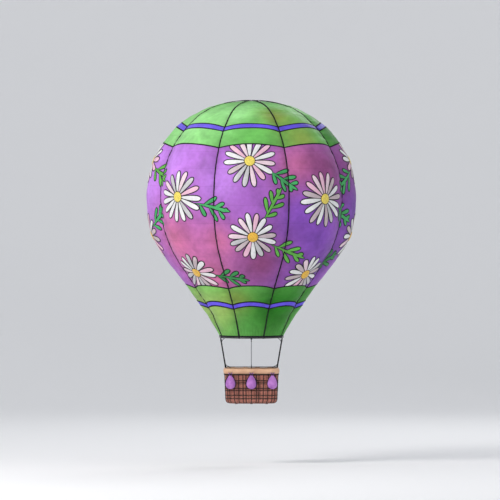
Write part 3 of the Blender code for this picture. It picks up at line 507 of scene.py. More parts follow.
def silhouette(station):
    """(radius, height) at stations from 0, the crown, to 3, the mouth, on three cubic curves."""
    crown, equator = np.array((0.0, CROWN_Z)), np.array((ENVELOPE_RADIUS, 0.0))
    waist, mouth = np.array((WAIST_RADIUS, WAIST_Z)), np.array((MOUTH_RADIUS, MOUTH_Z))
    waist_way, mouth_way = (np.array((-slope, -1)) / math.hypot(slope, 1) for slope in (WAIST_SLOPE, MOUTH_SLOPE))
    curves = np.array([
        (crown, crown + (CROWN_HANDLE, 0), equator + (0, EQUATOR_HANDLES[0]), equator),
        (equator, equator - (0, EQUATOR_HANDLES[1]), waist - waist_way * WAIST_HANDLES[0], waist),
        (waist, waist + waist_way * WAIST_HANDLES[1], mouth - mouth_way * MOUTH_HANDLE, mouth),
    ])
    station = np.clip(station, 0.0, 3.0)
    index = np.minimum(station.astype(int), 2)
    t = (station - index)[..., None]
    a, b, c, d = (curves[index, corner] for corner in range(4))
    return a * (1 - t) ** 3 + b * 3 * t * (1 - t) ** 2 + c * 3 * t * t * (1 - t) + d * t**3


STATIONS = np.linspace(0.0, 3.0, 3001)
PLACES = silhouette(STATIONS)
LENGTHS = np.concatenate([[0.0], np.cumsum(np.linalg.norm(np.diff(PLACES, axis=0), axis=1))])
MOUTH_LENGTH = LENGTHS[-1]


def length_at_height(height):
    return np.interp(-np.asarray(height, float), -PLACES[:, 1], LENGTHS)


def length_at_crown_radius(radius):
    return np.interp(radius, PLACES[:1001, 0], LENGTHS[:1001])


def radius_at(length):
    return np.interp(length, LENGTHS, PLACES[:, 0])


def smooth_step(value):
    value = np.clip(value, 0.0, 1.0)
    return value * value * (3 - 2 * value)


def gore_share(azimuth):
    """Where an azimuth lies in its gore: -1 and 1 at the seams, 0 in the middle."""
    return ((azimuth + GORE_ANGLE / 2) % GORE_ANGLE - GORE_ANGLE / 2) / (GORE_ANGLE / 2)


def beside_seam(length, azimuth):
    """The distance to the nearest seam."""
    return (1 - np.abs(gore_share(azimuth))) * radius_at(length) * GORE_ANGLE / 2


def turns(count):
    """Angles spread evenly round a full turn."""
    return np.linspace(0, math.tau, count, endpoint=False)


def around_z(reach, azimuth, height):
    return np.stack(np.broadcast_arrays(reach * np.sin(azimuth), -reach * np.cos(azimuth), height), axis=-1)


def lobed(length, azimuth):
    """The smooth inflated surface."""
    length, azimuth = np.asarray(length, float), np.asarray(azimuth, float)
    station = np.interp(length, LENGTHS, STATIONS)
    radius, height = np.moveaxis(silhouette(station), -1, 0)
    crown_fade = smooth_step((radius - PARACHUTE_RADIUS) / (LOBE_FULL_RADIUS - PARACHUTE_RADIUS))
    crown_fade = np.where(station > 1, 1.0, crown_fade)
    depth = LOBE_DEPTH * crown_fade * smooth_step((height - MOUTH_Z) / LOBE_MOUTH_FADE)
    half = GORE_ANGLE / 2
    radius = np.maximum(radius, 1e-6)
    seam = radius * (1 - depth)
    rise = radius - seam * math.cos(half)
    lobe = ((seam * math.sin(half)) ** 2 + rise**2) / (2 * rise)
    angle = gore_share(azimuth) * half
    centre = radius - lobe
    reach = centre * np.cos(angle) + np.sqrt(lobe**2 - (centre * np.sin(angle)) ** 2)
    return around_z(reach, azimuth, height)


def relief(length, azimuth):
    """How far the cloth billows between its sewn rows, puckers beside its tapes and pleats at its ends."""
    gore = np.round(azimuth / GORE_ANGLE) % GORES
    radius = radius_at(length)
    beside = beside_seam(length, azimuth)
    height = BILLOW * np.sin(math.pi * ((length / SEWN_PANEL) % 1.0)) ** 0.7
    height += SWELL * np.sin(3.1 * length + 2.2 * np.sin(azimuth * 3)) * np.sin(azimuth * 7 + 1.3 * length)
    phase = 2.1 * gore + 1.9 * np.sign(gore_share(azimuth)) + 1.6 * np.sin(length * 2.3 + gore)
    clear = 1 - 0.7 * np.exp(-beside / 0.06)
    for pucker, reach, pitch, share in PUCKERS:
        height += pucker * clear * np.exp(-beside / reach) * np.sin(length * math.tau / pitch + share * phase)
    mouth_fade = smooth_step(1 - (MOUTH_LENGTH - length) / 0.80)
    pleat = MOUTH_PLEAT * mouth_fade * np.sin(azimuth * 72 + 0.8 * np.sin(azimuth * 9))
    crown_fade = smooth_step(1 - (radius - CROWN_OPENING_RADIUS) / 0.7) * (length < 4)
    pleat += CROWN_PLEAT * crown_fade * np.sin(azimuth * 64 + 0.7 * np.sin(azimuth * 7))
    return (1 - np.exp(-beside / 0.020)) * height * smooth_step((radius - 1.05) / 0.5) + pleat


def cloth(length, azimuth, lift=0.0):
    """Points on the cloth, or a small lift off it."""
    length, azimuth = np.broadcast_arrays(np.asarray(length, float), np.asarray(azimuth, float))
    down = lobed(length + 0.004, azimuth) - lobed(length - 0.004, azimuth)
    along = lobed(length, azimuth + 0.002) - lobed(length, azimuth - 0.002)
    normal = np.cross(down, along)
    normal /= np.maximum(np.linalg.norm(normal, axis=-1, keepdims=True), 1e-12)
    return lobed(length, azimuth) + normal * (relief(length, azimuth) + lift)[..., None]


def arched_edge(seam_height, arch):
    return lambda azimuth: length_at_height(seam_height + arch * (1 - gore_share(azimuth) ** 2))


def level_edge(length):
    return lambda azimuth: np.full(np.shape(azimuth), float(length))


EDGES = {name: arched_edge(*heights) for name, heights in EDGE_HEIGHTS.items()}
EDGES["opening"] = level_edge(length_at_crown_radius(CROWN_OPENING_RADIUS))
EDGES["mouth"] = level_edge(MOUTH_LENGTH)
# The cloth's columns across a gore, from -1 to 1, with extra ones close beside its seams, and right round from a seam
COLUMN_SHARES = np.sort([*np.linspace(-1.0, 1.0, CLOTH_COLUMNS + 1), 1 - BESIDE_SEAM, BESIDE_SEAM - 1])
COLUMN_AZIMUTHS = ((np.arange(GORES)[:, None] + 1) * GORE_ANGLE + COLUMN_SHARES[:-1] * GORE_ANGLE / 2).ravel()


def add_piece(name, mesh, looks, body, slot, *nodes):
    """Puts a mesh in the scene, smooth, on its body and in place of its CAD nodes."""
    mesh.shade_smooth()
    for look in looks.split():
        mesh.materials.append(LOOKS[look])
    obj = bpy.data.objects.new(name, mesh)
    bpy.context.scene.collection.objects.link(obj)
    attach(obj, body)
    if nodes:
        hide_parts(*nodes)
    return obj


class Builder:
    """Collects lattices of points into one mesh, each with its material and tint."""

    def __init__(self):
        self.lattices = []
        self.count = 0

    def lattice(self, points, slot=0, tint=1.0, ring=False, loop=False, flip=False, uv=None):
        """Quads between rows of points, facing the viewer when rows run down and columns to the right.

        In a ring the columns close on themselves, and in a loop the rows do.
        """
        rows, columns = points.shape[:2]
        i, j = np.meshgrid(np.arange(rows - (not loop)), np.arange(columns - (not ring)), indexing="ij")
        below, beside = (i + 1) % rows * columns, (j + 1) % columns
        faces = np.stack([i * columns + j, below + j, below + beside, i * columns + beside], axis=-1).reshape(-1, 4)
        tints = np.ones((rows, columns, 4))
        tints[..., :3] = tint
        uv = np.zeros((rows, columns, 2)) if uv is None else uv
        self.lattices.append((points.reshape(-1, 3), (faces[:, ::-1] if flip else faces) + self.count,
                              np.full(len(faces), slot), tints.reshape(-1, 4), uv.reshape(-1, 2)))
        self.count += rows * columns

    def torus(self, centre, radius, tube, slot=0, segments=96, sides=20):
        section = turns(sides)[:, None]
        points = around_z(radius + tube * np.cos(section), turns(segments), -tube * np.sin(section))
        self.lattice(points + centre, slot, ring=True, loop=True, flip=True)

    def tube(self, points, radius, slot=0, tint=1.0, sides=12, caps=True):
        """A tube along a line. Its radius may vary."""
        points = np.asarray(points, float)
        way = np.gradient(points, axis=0)
        way /= np.maximum(np.linalg.norm(way, axis=1, keepdims=True), 1e-12)
        side = np.cross(way[0], (0, 0, 1) if abs(way[0][2]) < 0.9 else (0, 1, 0))
        angle = turns(sides)[:, None]
        rings = []
        for place, along, size in zip(points, way, np.broadcast_to(radius, len(points))):
            side = side - along * np.dot(side, along)
            side /= max(np.linalg.norm(side), 1e-12)
            rings.append(place + size * (np.cos(angle) * side + np.sin(angle) * np.cross(along, side)))
        if caps:
            rings = [np.tile(points[0], (sides, 1)), *rings, np.tile(points[-1], (sides, 1))]
        self.lattice(np.array(rings), slot, tint, ring=True, flip=True)

    def strand(self, line, out, half, rise, sides, tint):
        """A cane laid round the basket: half its width outwards, and half its height."""
        section = turns(sides)[:, None, None]
        spread = raised(out, 0.0) * np.cos(section) * half - np.array((0.0, 0.0, rise)) * np.sin(section)
        self.lattice(line + spread, 0, tint, ring=True, loop=True, flip=True)

    def turned(self, profile, centre=(0, 0, 0), slot=0, steps=48):
        """A solid of revolution about Z. The profile lists (radius, height) from its top down its outer side."""
        profile = np.asarray(profile, float)
        self.lattice(around_z(profile[:, :1], turns(steps), profile[:, 1:]) + centre, slot, ring=True)

    def box(self, centre, size, slot=0, round_off=0.006, turn=0.0):
        """A box with rounded edges, as a stack of rounded rectangles."""
        half = np.asarray(size, float) / 2
        round_off = min(round_off, *(0.45 * side for side in size))
        rows = [(0.0, 0.0, half[2]) * np.ones((24, 1))]
        for drop, inset in ((0, round_off), (0.3 * round_off, 0.3 * round_off), (round_off, 0.0)):
            outline = rounded_outline(half[:2] - inset, max(round_off - inset, 0.0005), 24)
            rows.append(raised(outline, half[2] - drop))
        rows += [row * (1, 1, -1) for row in rows[::-1]]
        cos, sin = math.cos(turn), math.sin(turn)
        self.lattice(np.array(rows) @ ((cos, sin, 0), (-sin, cos, 0), (0, 0, 1)) + centre, slot, ring=True)

    def mesh(self, name):
        points, faces, slots, tints, uvs = (np.concatenate(arrays) for arrays in zip(*self.lattices))
        mesh = bpy.data.meshes.new(name)
        mesh.from_pydata(points.tolist(), [], faces.tolist())
        mesh.polygons.foreach_set("material_index", slots.astype(np.int32))
        tint = mesh.attributes.new("tint", "FLOAT_COLOR", "POINT")
        tint.data.foreach_set("color", tints.astype(np.float32).ravel())
        corners = np.zeros(len(mesh.loops), np.int32)
        mesh.loops.foreach_get("vertex_index", corners)
        layer = mesh.uv_layers.new(name="UVMap")
        layer.data.foreach_set("uv", uvs[corners].astype(np.float32).ravel())
        return mesh

    def piece(self, name, *placing):
        return add_piece(name, self.mesh(name), *placing)


def raised(outline, height):
    """The flat points of an outline, at a height."""
    return np.column_stack([outline, np.broadcast_to(height, len(outline))])


def evenly(line, count):
    """Points spread evenly along a line, without its end."""
    steps = np.concatenate([[0.0], np.cumsum(np.linalg.norm(np.diff(line, axis=0), axis=1))])
    wanted = np.linspace(0, steps[-1], count, endpoint=False)
    return np.column_stack([np.interp(wanted, steps, values) for values in line.T])


def rounded_outline(half, corner, count):
    """Points spread evenly round a rectangle with round corners, from the middle of its front, towards +X."""
    corner = min(corner, *half)
    line = [(0.0, -half[1])]
    for x, y, start in ((1, -1, -90), (1, 1, 0), (-1, 1, 90), (-1, -1, 180)):
        for angle in np.radians(np.linspace(start, start + 90, 17)):
            line.append((x * (half[0] - corner) + corner * math.cos(angle),
                         y * (half[1] - corner) + corner * math.sin(angle)))
    return evenly(np.array([*line, line[0]]), count)


def outward(outline):
    """Unit vectors out of a closed outline."""
    along = np.roll(outline, -1, axis=0) - np.roll(outline, 1, axis=0)
    normal = np.column_stack([along[:, 1], -along[:, 0]])
    return normal / np.maximum(np.linalg.norm(normal, axis=1, keepdims=True), 1e-12)


def smooth_points(route, spacing):
    """Points on a smooth curve through the route, about the given distance apart."""
    route = [Vector(point) for point in route]
    ends = [2 * route[0] - route[1], *route, 2 * route[-1] - route[-2]]
    points = [route[0]]
    for before, start, end, after in zip(ends, ends[1:], ends[2:], ends[3:]):
        steps = max(1, round((end - start).length / spacing))
        for step in range(1, steps + 1):
            t = step / steps
            points.append(0.5 * (2 * start + (end - before) * t + (2 * before - 5 * start + 4 * end - after) * t**2
                                 + (3 * start - before - 3 * end + after) * t**3))
    return points


def tinted(length, azimuth, base, tints):
    """The base colour with soft patches of tint laid over it in turn, and painted shade beside the seams, where the
    lobes dip between gores.
    """
    points = lobed(length, azimuth)
    colour = np.asarray(base) * np.ones(points.shape)
    for degrees, height, reach, tint in tints:
        centre = lobed(length_at_height(height), math.radians(degrees))
        distance = np.linalg.norm(points - centre, axis=-1)
        weight = np.exp(-((distance / reach) ** 2) * 1.1)[..., None]
        colour = colour * (1 - weight) + np.asarray(tint) * weight
    # Painted shade: up to a fifth darker close beside each seam, where the lobes dip.
    return colour * (1 - 0.20 * np.exp(-beside_seam(length, azimuth) / 0.16))[..., None]


def cloth_band(name, top, foot, kind, gore=None):
    """A band of cloth between two edges: right round, or one gore."""
    if gore is None:
        azimuth = COLUMN_AZIMUTHS
    else:
        azimuth = gore * GORE_ANGLE + COLUMN_SHARES * GORE_ANGLE * 0.4999
    start, end = EDGES[top](azimuth), EDGES[foot](azimuth)
    rows = max(3, int(np.ceil((end - start).mean() / CLOTH_ROW)) + 1)
    length = start + (end - start) * np.linspace(0.0, 1.0, rows)[:, None]
    azimuth = np.broadcast_to(azimuth, length.shape)
    builder = Builder()
    builder.lattice(cloth(length, azimuth), 0, tinted(length, azimuth, *CLOTH_TINTS[kind]), ring=gore is None,
                    uv=np.stack([azimuth * radius_at(length), length], axis=-1))
    obj = builder.piece(f"{name}_cloth", "cloth", "balloon", f"envelope_{kind}", name)


def make_envelope():
    for name, top, foot, kind in BANDS:
        if kind == "flowers":
            for gore in range(GORES):
                cloth_band(f"{name}_{gore + 1}", top, foot, kind, gore)
        else:
            cloth_band(name, top, foot, kind)


def make_tapes():
    """Webbing down the seams and round the load ring, the crown ring, and narrower webbing on each colour edge."""
    across, lift = np.array(TAPE_SECTION).T
    down = Builder()
    length = np.linspace(length_at_crown_radius(CROWN_RING_RADIUS), MOUTH_LENGTH, 300)[:, None]
    section = turns(24)[:, None]
    loop = RING_TUBE + 0.004 + np.array((-0.0035, 0.0, 0.0, -0.0035))
    loop_turn = np.array((-0.5, -0.48, 0.48, 0.5)) * LOAD_TAPE_WIDTH * 1.25 / RING_RADIUS
    for gore in range(GORES):
        seam = (gore + 0.5) * GORE_ANGLE
        azimuth = seam + across * LOAD_TAPE_WIDTH / np.maximum(radius_at(length), 0.07)
        down.lattice(cloth(length, azimuth, LOAD_TAPE_LIFT * lift))
        down.lattice(around_z(RING_RADIUS + loop * np.cos(section), seam + loop_turn, RING_Z - loop * np.sin(section)),
                     loop=True, flip=True)
    down.torus((0, 0, lobed(length[0, 0], 0.0)[2] + 0.007), CROWN_RING_RADIUS, CROWN_RING_TUBE, slot=1)
    down.piece("load_tapes_webbing", "webbing steel", "balloon", "load_tape", "load_tapes")

    edges = Builder()
    for edge in EDGE_HEIGHTS:
        length = EDGES[edge](COLUMN_AZIMUTHS) + across[:, None] * SEAM_TAPE_WIDTH
        edges.lattice(cloth(length, COLUMN_AZIMUTHS, SEAM_TAPE_LIFT * lift[:, None]), ring=True)
    hem = np.linspace(MOUTH_LENGTH - 0.045, MOUTH_LENGTH - 0.001, 6)[:, None]
    hem_lift = np.array((0.001, 0.006, 0.009, 0.009, 0.009, 0.009))[:, None]
    edges.lattice(cloth(hem, COLUMN_AZIMUTHS, hem_lift), ring=True)
    edges.piece("seam_tapes", "webbing", "balloon", "load_tape")


# Daisies are drawn flat, in metres right and up from the flower's middle, and then laid on the cloth.
def lay_on_cloth(flat, lift, centre):
    """Lays (right, up) points on the cloth round a centre of (length, azimuth).

    They are cut off where the cloth's colour changes, and pressed down under every tape.
    """
    length = centre[0] - flat[..., 1]
    azimuth = centre[1] + flat[..., 0] / np.maximum(radius_at(length), 0.5)
    top, foot = EDGES["flower_top"](azimuth), EDGES["flower_foot"](azimuth)
    length = np.clip(length, top + SEAM_TAPE_WIDTH * 0.2, foot - SEAM_TAPE_WIDTH * 0.2)
    under_load_tape = 0.68 + 0.32 * smooth_step((beside_seam(length, azimuth) - 0.022) / 0.045)
    under_edge_tape = 0.10 + 0.90 * smooth_step((np.minimum(length - top, foot - length) - 0.022) / 0.045)
    return cloth(length, azimuth, lift * np.minimum(under_load_tape, under_edge_tape))


def heading(degrees, reach=1.0):
    """(right, up) at a reach, clockwise from up."""
    return np.array((math.sin(math.radians(degrees)), math.cos(math.radians(degrees)))) * reach


def add_applique(builder, centre, slot, tint, size, degrees, shift, lift, dome, tip, rows=13):
    """A puffed petal or leaf on a darker, slightly larger one that shows as its outline."""
    t = 1 - (1 - np.linspace(0.0, 1.0, rows)[:, None]) ** 1.6
    q = np.linspace(-1.0, 1.0, 5)
    swell = np.where(t < tip, np.sin(t / tip * math.pi / 2) ** 0.75,
                     np.sqrt(np.maximum(0, 1 - ((t - tip) / (1 - tip)) ** 2)))
    # Painted shade: each petal and leaf is darker towards its base.
    shade = 0.80 + 0.20 * np.linspace(0, 1, rows)[:, None, None] ** 0.6
    for edge, under, height, layer, colour in ((DAISY_OUTLINE, lift, 0.0015, 0, 0.0),
                                               (0.0, lift + 0.0035, dome, slot, shade * tint)):
        length, width = size[0] + 2 * edge, size[1] + 2 * edge
        right = width / 2 * np.maximum(swell, 0.02) * q
        flat = right[..., None] * heading(degrees + 90) + (t * length - edge)[..., None] * heading(degrees) + shift
        builder.lattice(lay_on_cloth(flat, under + height * (1 - q**2) * swell, centre), layer, colour)


def add_sprig(builder, rng, degrees, start, centre, tint):
    """A leaf sprig: a stem with finger-like lobes to both sides."""
    scale = rng.uniform(0.92, 1.08)
    pieces = [(at * scale, lean, reach * scale, LEAF_WIDTH) for at, lean, reach in SPRIG_LOBES]
    pieces.append((0.0, 0.0, SPRIG_LENGTH * scale, LEAF_WIDTH * 0.9))
    for at, lean, reach, width in pieces:
        shade = rng.uniform(0.85, 1.12)
        add_applique(builder, centre, 3, shade * np.array(tint), (reach, width), degrees + lean + rng.uniform(-5, 5),
                     heading(degrees, start + at), 0.0085, 0.006, 0.72, 9 + int(reach / 0.07))


def add_button(builder, centre, radius, lift, slot, tint, height):
    """A round domed disc on the cloth."""
    share = np.linspace(1.0, 0.0, 9)[:, None]
    around = turns(36)
    flat = radius * share[..., None] * np.stack([np.sin(around), np.cos(around)], axis=-1)
    lift = lift + height * np.sqrt(np.maximum(0.0, 1 - share**2)) - 0.006 * (share > 0.99)
    builder.lattice(lay_on_cloth(flat, lift, centre), slot, tint, ring=True, flip=True)


def make_daisies():
    """Appliqué daisies with leaf sprigs, one mesh a gore."""
    for gore in range(GORES):
        builder = Builder()
        for number, (at, height, shift, radius, petals, sprigs) in enumerate(DAISIES):
            if at != gore:
                continue
            rng = random.Random(100 + number)
            length = float(length_at_height(height))
            centre = (length, gore * GORE_ANGLE + shift / float(radius_at(length)))
            for degrees in sprigs:
                add_sprig(builder, rng, 90 - degrees, 0.84 * radius, centre, rng.choice(LEAF_TINTS))
            turn = rng.uniform(0, 360 / petals)
            for petal in range(petals):
                degrees = turn + 360 * petal / petals + rng.uniform(-2.5, 2.5)
                reach = radius * rng.uniform(0.93, 1.04) - PETAL_START
                width = min(PETAL_WIDTH, 1.9 * math.pi * radius * 0.62 / petals) * rng.uniform(0.92, 1.03)
                add_applique(builder, centre, 1, np.array(rng.choice(PETAL_TINTS)), (reach, width), degrees,
                             heading(degrees, PETAL_START), 0.0095 + 0.001 * (petal % 2), 0.010, 0.76)
            add_button(builder, centre, 0.216, 0.017, 0, 0.0, 0.002)
            add_button(builder, centre, 0.188, 0.0195, 2, CENTRE_TINTS[number % 2], 0.022)
        builder.piece(f"daisies_{gore + 1}", "outline petal centre petal", "balloon", "envelope_flowers")


def make_parachute():
    """The vent panel under the crown opening."""
    builder = Builder()
    radius = np.linspace(PARACHUTE_BOSS_RADIUS * 0.5, PARACHUTE_RADIUS, 26)[:, None]
    length, azimuth = np.broadcast_arrays(length_at_crown_radius(radius), turns(160))
    ripple = 0.0022 * np.sin(azimuth * 24) * smooth_step((radius - 0.25) / 0.6)
    points = lobed(length, azimuth)
    points[..., 2] -= PARACHUTE_DROP + np.abs(ripple) + 0.0015
    builder.lattice(points, 0, tinted(length, azimuth, *CLOTH_TINTS["green"]) * 0.82, ring=True,
                    uv=np.stack([azimuth * radius, length], axis=-1))
    panel = builder.piece("parachute_cloth", "cloth", "parachute", "envelope_green", "parachute_panel")


def riser_lines():
    """(top, foot, radius) of the six risers."""
    lines = [(np.multiply(turn, SIDE_RISER_TOP), np.multiply(turn, SIDE_RISER_FOOT), SIDE_RISER_RADIUS)
             for turn in ((-1, -1), (-1, 1), (1, -1), (1, 1))]
    return lines + [((0.0, end * RING_RADIUS), (0.0, end * MID_RISER_FOOT), MID_RISER_RADIUS) for end in (-1, 1)]


def make_ring():
    """The load ring with its lugs, their pins and webbing."""
    builder = Builder()
    builder.torus((0, 0, RING_Z), RING_RADIUS, RING_TUBE, segments=160)
    for (x, y), _, _ in riser_lines():
        turn = math.atan2(y, x)
        builder.box((x, y, (RING_Z + LUG_FOOT_Z) / 2), (0.012, 0.060, RING_Z - LUG_FOOT_Z), round_off=0.004, turn=turn)
        middle = np.array((x, y, LUG_FOOT_Z + 0.014))
        out = 0.020 * np.array((math.cos(turn), math.sin(turn), 0))
        builder.tube([middle - out, middle + out], 0.008, 1, sides=14)
        builder.tube([(x, y, RING_Z - 0.6 * RING_TUBE), (x, y, LUG_FOOT_Z - 0.004)], 0.021, 2, sides=16)
    builder.piece("load_ring_steel", "ring steel webbing", "balloon", "ring_steel", "load_ring")


def make_risers():
    """Padded sleeves at the sides and bare grey ropes in the middle, each with a cuff above and below."""
    for number, (top, foot, radius) in enumerate(riser_lines(), 1):
        high, low = np.array((*top, LUG_FOOT_Z)), np.array((*foot, RIM_TOP_Z))
        padded = radius > 0.02
        share = np.linspace(0.0, 1.0, 120)
        if padded:
            puff = radius * (0.93 + 0.07 * np.abs(np.sin(share * math.pi * 16))) + 0.0012 * np.sin(share * 70)
        else:
            puff = radius * 0.86
        ends = smooth_step(np.minimum(share, 1 - share) / 0.02)
        builder = Builder()
        builder.tube(high + (low - high) * share[:, None], puff * (0.55 + 0.45 * ends), 0 if padded else 1, sides=14)
        bulge = radius * (1.08 + 0.10 * np.sin(np.linspace(0, math.pi, 8)))
        for start, end in ((0.030, 0.075), (0.925, 0.985)):
            builder.tube(high + (low - high) * np.linspace(start, end, 8)[:, None], bulge, 2, sides=18)
        builder.piece(f"riser_{number}_sleeve", "webbing grey_webbing webbing", "balloon", "riser_cover",
                      f"riser_{number}")


def make_burner():
    """Smooth gimbal, cans with dark discs of painted shade for vent slots, wound coils and a valve block."""
    gimbal = Builder()
    gimbal.torus((0, 0, RING_Z), GIMBAL_RADIUS, GIMBAL_TUBE, sides=16)
    for side in (-1, 1):
        gimbal.box((0, side * GIMBAL_RADIUS, RING_Z), (0.060, 0.036, 0.050), round_off=0.007)
        gimbal.tube([(side * GIMBAL_RADIUS, 0, RING_Z), (side * GIMBAL_PIN_END, 0, RING_Z)], PIN_RADIUS, sides=20)
    gimbal.piece("gimbal_steel", "steel", "gimbal", "gimbal_steel", "gimbal_ring")

    # The can's profile is measured from its outer wall.
    top, hole = BURNER_CAN_HEIGHT, JET_HOLE - BURNER_CAN_RADIUS
    profile = [(-0.004, 0.005), (-0.004, top - 0.004), (-0.001, top), (0.001, top - 0.003), (0, top - 0.010)]
    for ridge in (0.24, 0.13):
        profile += [(0, ridge + 0.014), (0.004, ridge + 0.007), (0.004, ridge - 0.007), (0, ridge - 0.014)]
    profile += [(0, 0.006), (-0.004, 0.001), (hole, 0.001), (hole, 0.004), (-0.008, 0.004), (-0.004, 0.005)]
    angle = np.linspace(0, 3 * math.tau, 220)
    spiral = np.column_stack([COIL_RADIUS * np.cos(angle), COIL_RADIUS * np.sin(angle),
                              0.014 + COIL_PITCH * angle / math.tau])
    for number, side in ((1, -1), (2, 1)):
        centre = np.array((side * BURNER_CAN_X, 0, RING_Z + BURNER_CAN_FOOT))
        can = Builder()
        can.turned(np.array(profile) + (BURNER_CAN_RADIUS, 0), centre, steps=64)
        # Vent slots: dark discs in the wicker core's colour, painted shade where the holes would be.
        for turn in turns(16):
            out = np.array((math.sin(turn), -math.cos(turn), 0.0))
            place = centre + out * (BURNER_CAN_RADIUS + 0.0015) + (0, 0, 0.045)
            can.tube([place - out * 0.002, place + out * 0.0005], 0.012, 1, sides=14)
        can.piece(f"burner_can_{number}_steel", "can core", "burner", "burner_steel", f"burner_can_{number}")
        coil = Builder()
        coil.tube(centre + spiral, COIL_TUBE)
        coil.piece(f"burner_coil_{number}_copper", "copper", "burner", "burner_brass", f"burner_coil_{number}")

    block = Builder()
    block.box((0, 0, RING_Z), (0.058, 0.520, 0.040), round_off=0.008)
    block.box((0, 0, RING_Z - 0.020), (0.420, 0.110, 0.060), round_off=0.012)
    block.tube([(0, -BURNER_PIN_END, RING_Z), (0, BURNER_PIN_END, RING_Z)], PIN_RADIUS, sides=20)
    jet = [(0.0, 0.070), (0.012, 0.070), (0.016, 0.050), (0.030, 0.042), (0.050, 0.034), (0.050, 0.012),
           (0.058, 0.010), (0.058, 0.0), (0.0, 0.0)]
    knob = [(0.0, 0.016), (0.013, 0.014), (0.016, 0.004), (0.016, 0.0), (0.0, 0.0)]
    for side in (-1, 1):
        block.turned(jet, (side * BURNER_CAN_X, 0, RING_Z))
        lever = np.array((side * 0.150, 0, RING_Z - 0.020))
        end = lever + (0, -0.168, -0.02)
        block.tube([lever, lever + (0, -0.10, 0), end], 0.007, 1)
        block.tube([lever + (0, -0.105, -0.001), end], 0.0095, 2, sides=14)
        block.turned(knob, (side * 0.19, 0, RING_Z + 0.010), 2, steps=24)
    block.piece("burner_block_brass", "brass steel red", "burner", "burner_brass", "burner_block")


def weave_heights():
    """The heights of the rows of cane, evenly spaced up the wall's round foot and then its straight side."""
    arc = WALL_FOOT_CORNER * math.pi / 2
    total = arc + (RIM_FOOT_Z - WALL_FOOT_Z - WALL_FOOT_CORNER)
    count = int(total / CANE_PITCH)
    heights = []
    for along in (np.arange(count) + 0.5) * total / count:
        if along < arc:
            heights.append(WALL_FOOT_Z + WALL_FOOT_CORNER * (1 - math.cos(along / WALL_FOOT_CORNER)))
        else:
            heights.append(WALL_FOOT_Z + WALL_FOOT_CORNER + along - arc)
    return heights


def wall_line(height, depth, count):
    """Points round the wall at a height, a depth inside its outer face, and the outward way at each."""
    share = (height - WALL_FOOT_Z) / (RIM_FOOT_Z - WALL_FOOT_Z)
    below = max(0.0, WALL_FOOT_Z + WALL_FOOT_CORNER - height)
    inset = WALL_FOOT_CORNER - math.sqrt(max(0.0, WALL_FOOT_CORNER**2 - below**2))
    half = [low + (high - low) * share - inset for low, high in zip(WALL_HALF_FOOT, WALL_HALF_TOP)]
    outline = rounded_outline(half, max(WALL_CORNER - inset, 0.03), count)
    out = outward(outline)
    return outline - out * depth, out


def make_basket_wall():
    """Cane woven over and under stakes, with dark trim over it and a dark core behind it as painted shade."""
    rng = random.Random(7)
    phase = np.cos(np.arange(WEAVE_POINTS) * math.pi / WEAVE_STEPS)
    wave = CANE_WAVE * np.sign(phase) * np.abs(phase) ** 0.6
    heights = weave_heights()
    canes = Builder()
    for row, height in enumerate(heights):
        line, out = wall_line(height, WEAVE_DEPTH, WEAVE_POINTS)
        over = wave if row % 2 else -wave
        shade = rng.uniform(0.78, 1.18)
        flicker = np.repeat([rng.uniform(0.86, 1.12) for _ in range(STAKES)], WEAVE_STEPS)
        canes.strand(raised(line + out * over[:, None], height), out, CANE_HALF_WIDTH, CANE_PITCH * 0.54, 5,
                     np.clip(shade * flicker, 0, 1.4)[:, None])
    canes.piece("wicker_canes", "wicker", "balloon", "wicker", "basket_wall")

    stakes = Builder()
    levels = np.interp(np.linspace(0, len(heights) - 1, 16), np.arange(len(heights)), heights)
    rounds = [wall_line(height, WEAVE_DEPTH, WEAVE_POINTS) for height in levels]
    for at in range(0, WEAVE_POINTS, WEAVE_STEPS):
        for shift in (-STAKE_SPREAD, 0.0, STAKE_SPREAD):
            points = [(line[at][0] - out[at][1] * shift, line[at][1] + out[at][0] * shift, height)
                      for height, (line, out) in zip(levels, rounds)]
            stakes.tube(points, STAKE_RADIUS, 0, rng.uniform(0.75, 1.25), sides=5, caps=False)
    # The stakes take the core's dark colour, painted shade in the gaps of the weave.
    stakes.piece("wicker_stakes", "core", "balloon", "wicker")
    make_trim(rng)
    make_wall_core(heights)


def make_trim(rng):
    """Dark stained trim over the cane: bands of two canes twisted round each other, and upright ribs."""
    trim = Builder()
    for rise in WALE_HEIGHTS:
        line, out = wall_line(WALL_FOOT_Z + rise, -0.004, WALE_STEPS)
        for strand in range(2):
            angle = turns(WALE_STEPS) * WALE_TURNS + math.pi * strand
            points = raised(line + out * 0.0060 * np.cos(angle)[:, None], WALL_FOOT_Z + rise + 0.0075 * np.sin(angle))
            trim.strand(points, out, WALE_HALF_WIDTH, WALE_HALF_WIDTH, 6, rng.uniform(0.75, 1.0))
    heights = [*np.linspace(WALL_FOOT_Z + 0.012, WALL_FOOT_Z + WALL_FOOT_CORNER, 8),
               *np.linspace(WALL_FOOT_Z + 0.19, RIM_FOOT_Z, 16)]
    rounds = [wall_line(height, 0.002, RIB_PLACES)[0] for height in heights]
    places = np.cumsum(RIB_STEPS * RIB_CYCLES)
    for place in places / places[-1]:
        index = int(place * RIB_PLACES) % RIB_PLACES
        points = [(*line[index], height) for line, height in zip(rounds, heights)]
        trim.tube(points, RIB_RADIUS, 0, rng.uniform(0.75, 1.25), sides=10)
    trim.piece("wicker_trim", "stakes", "balloon", "wicker")


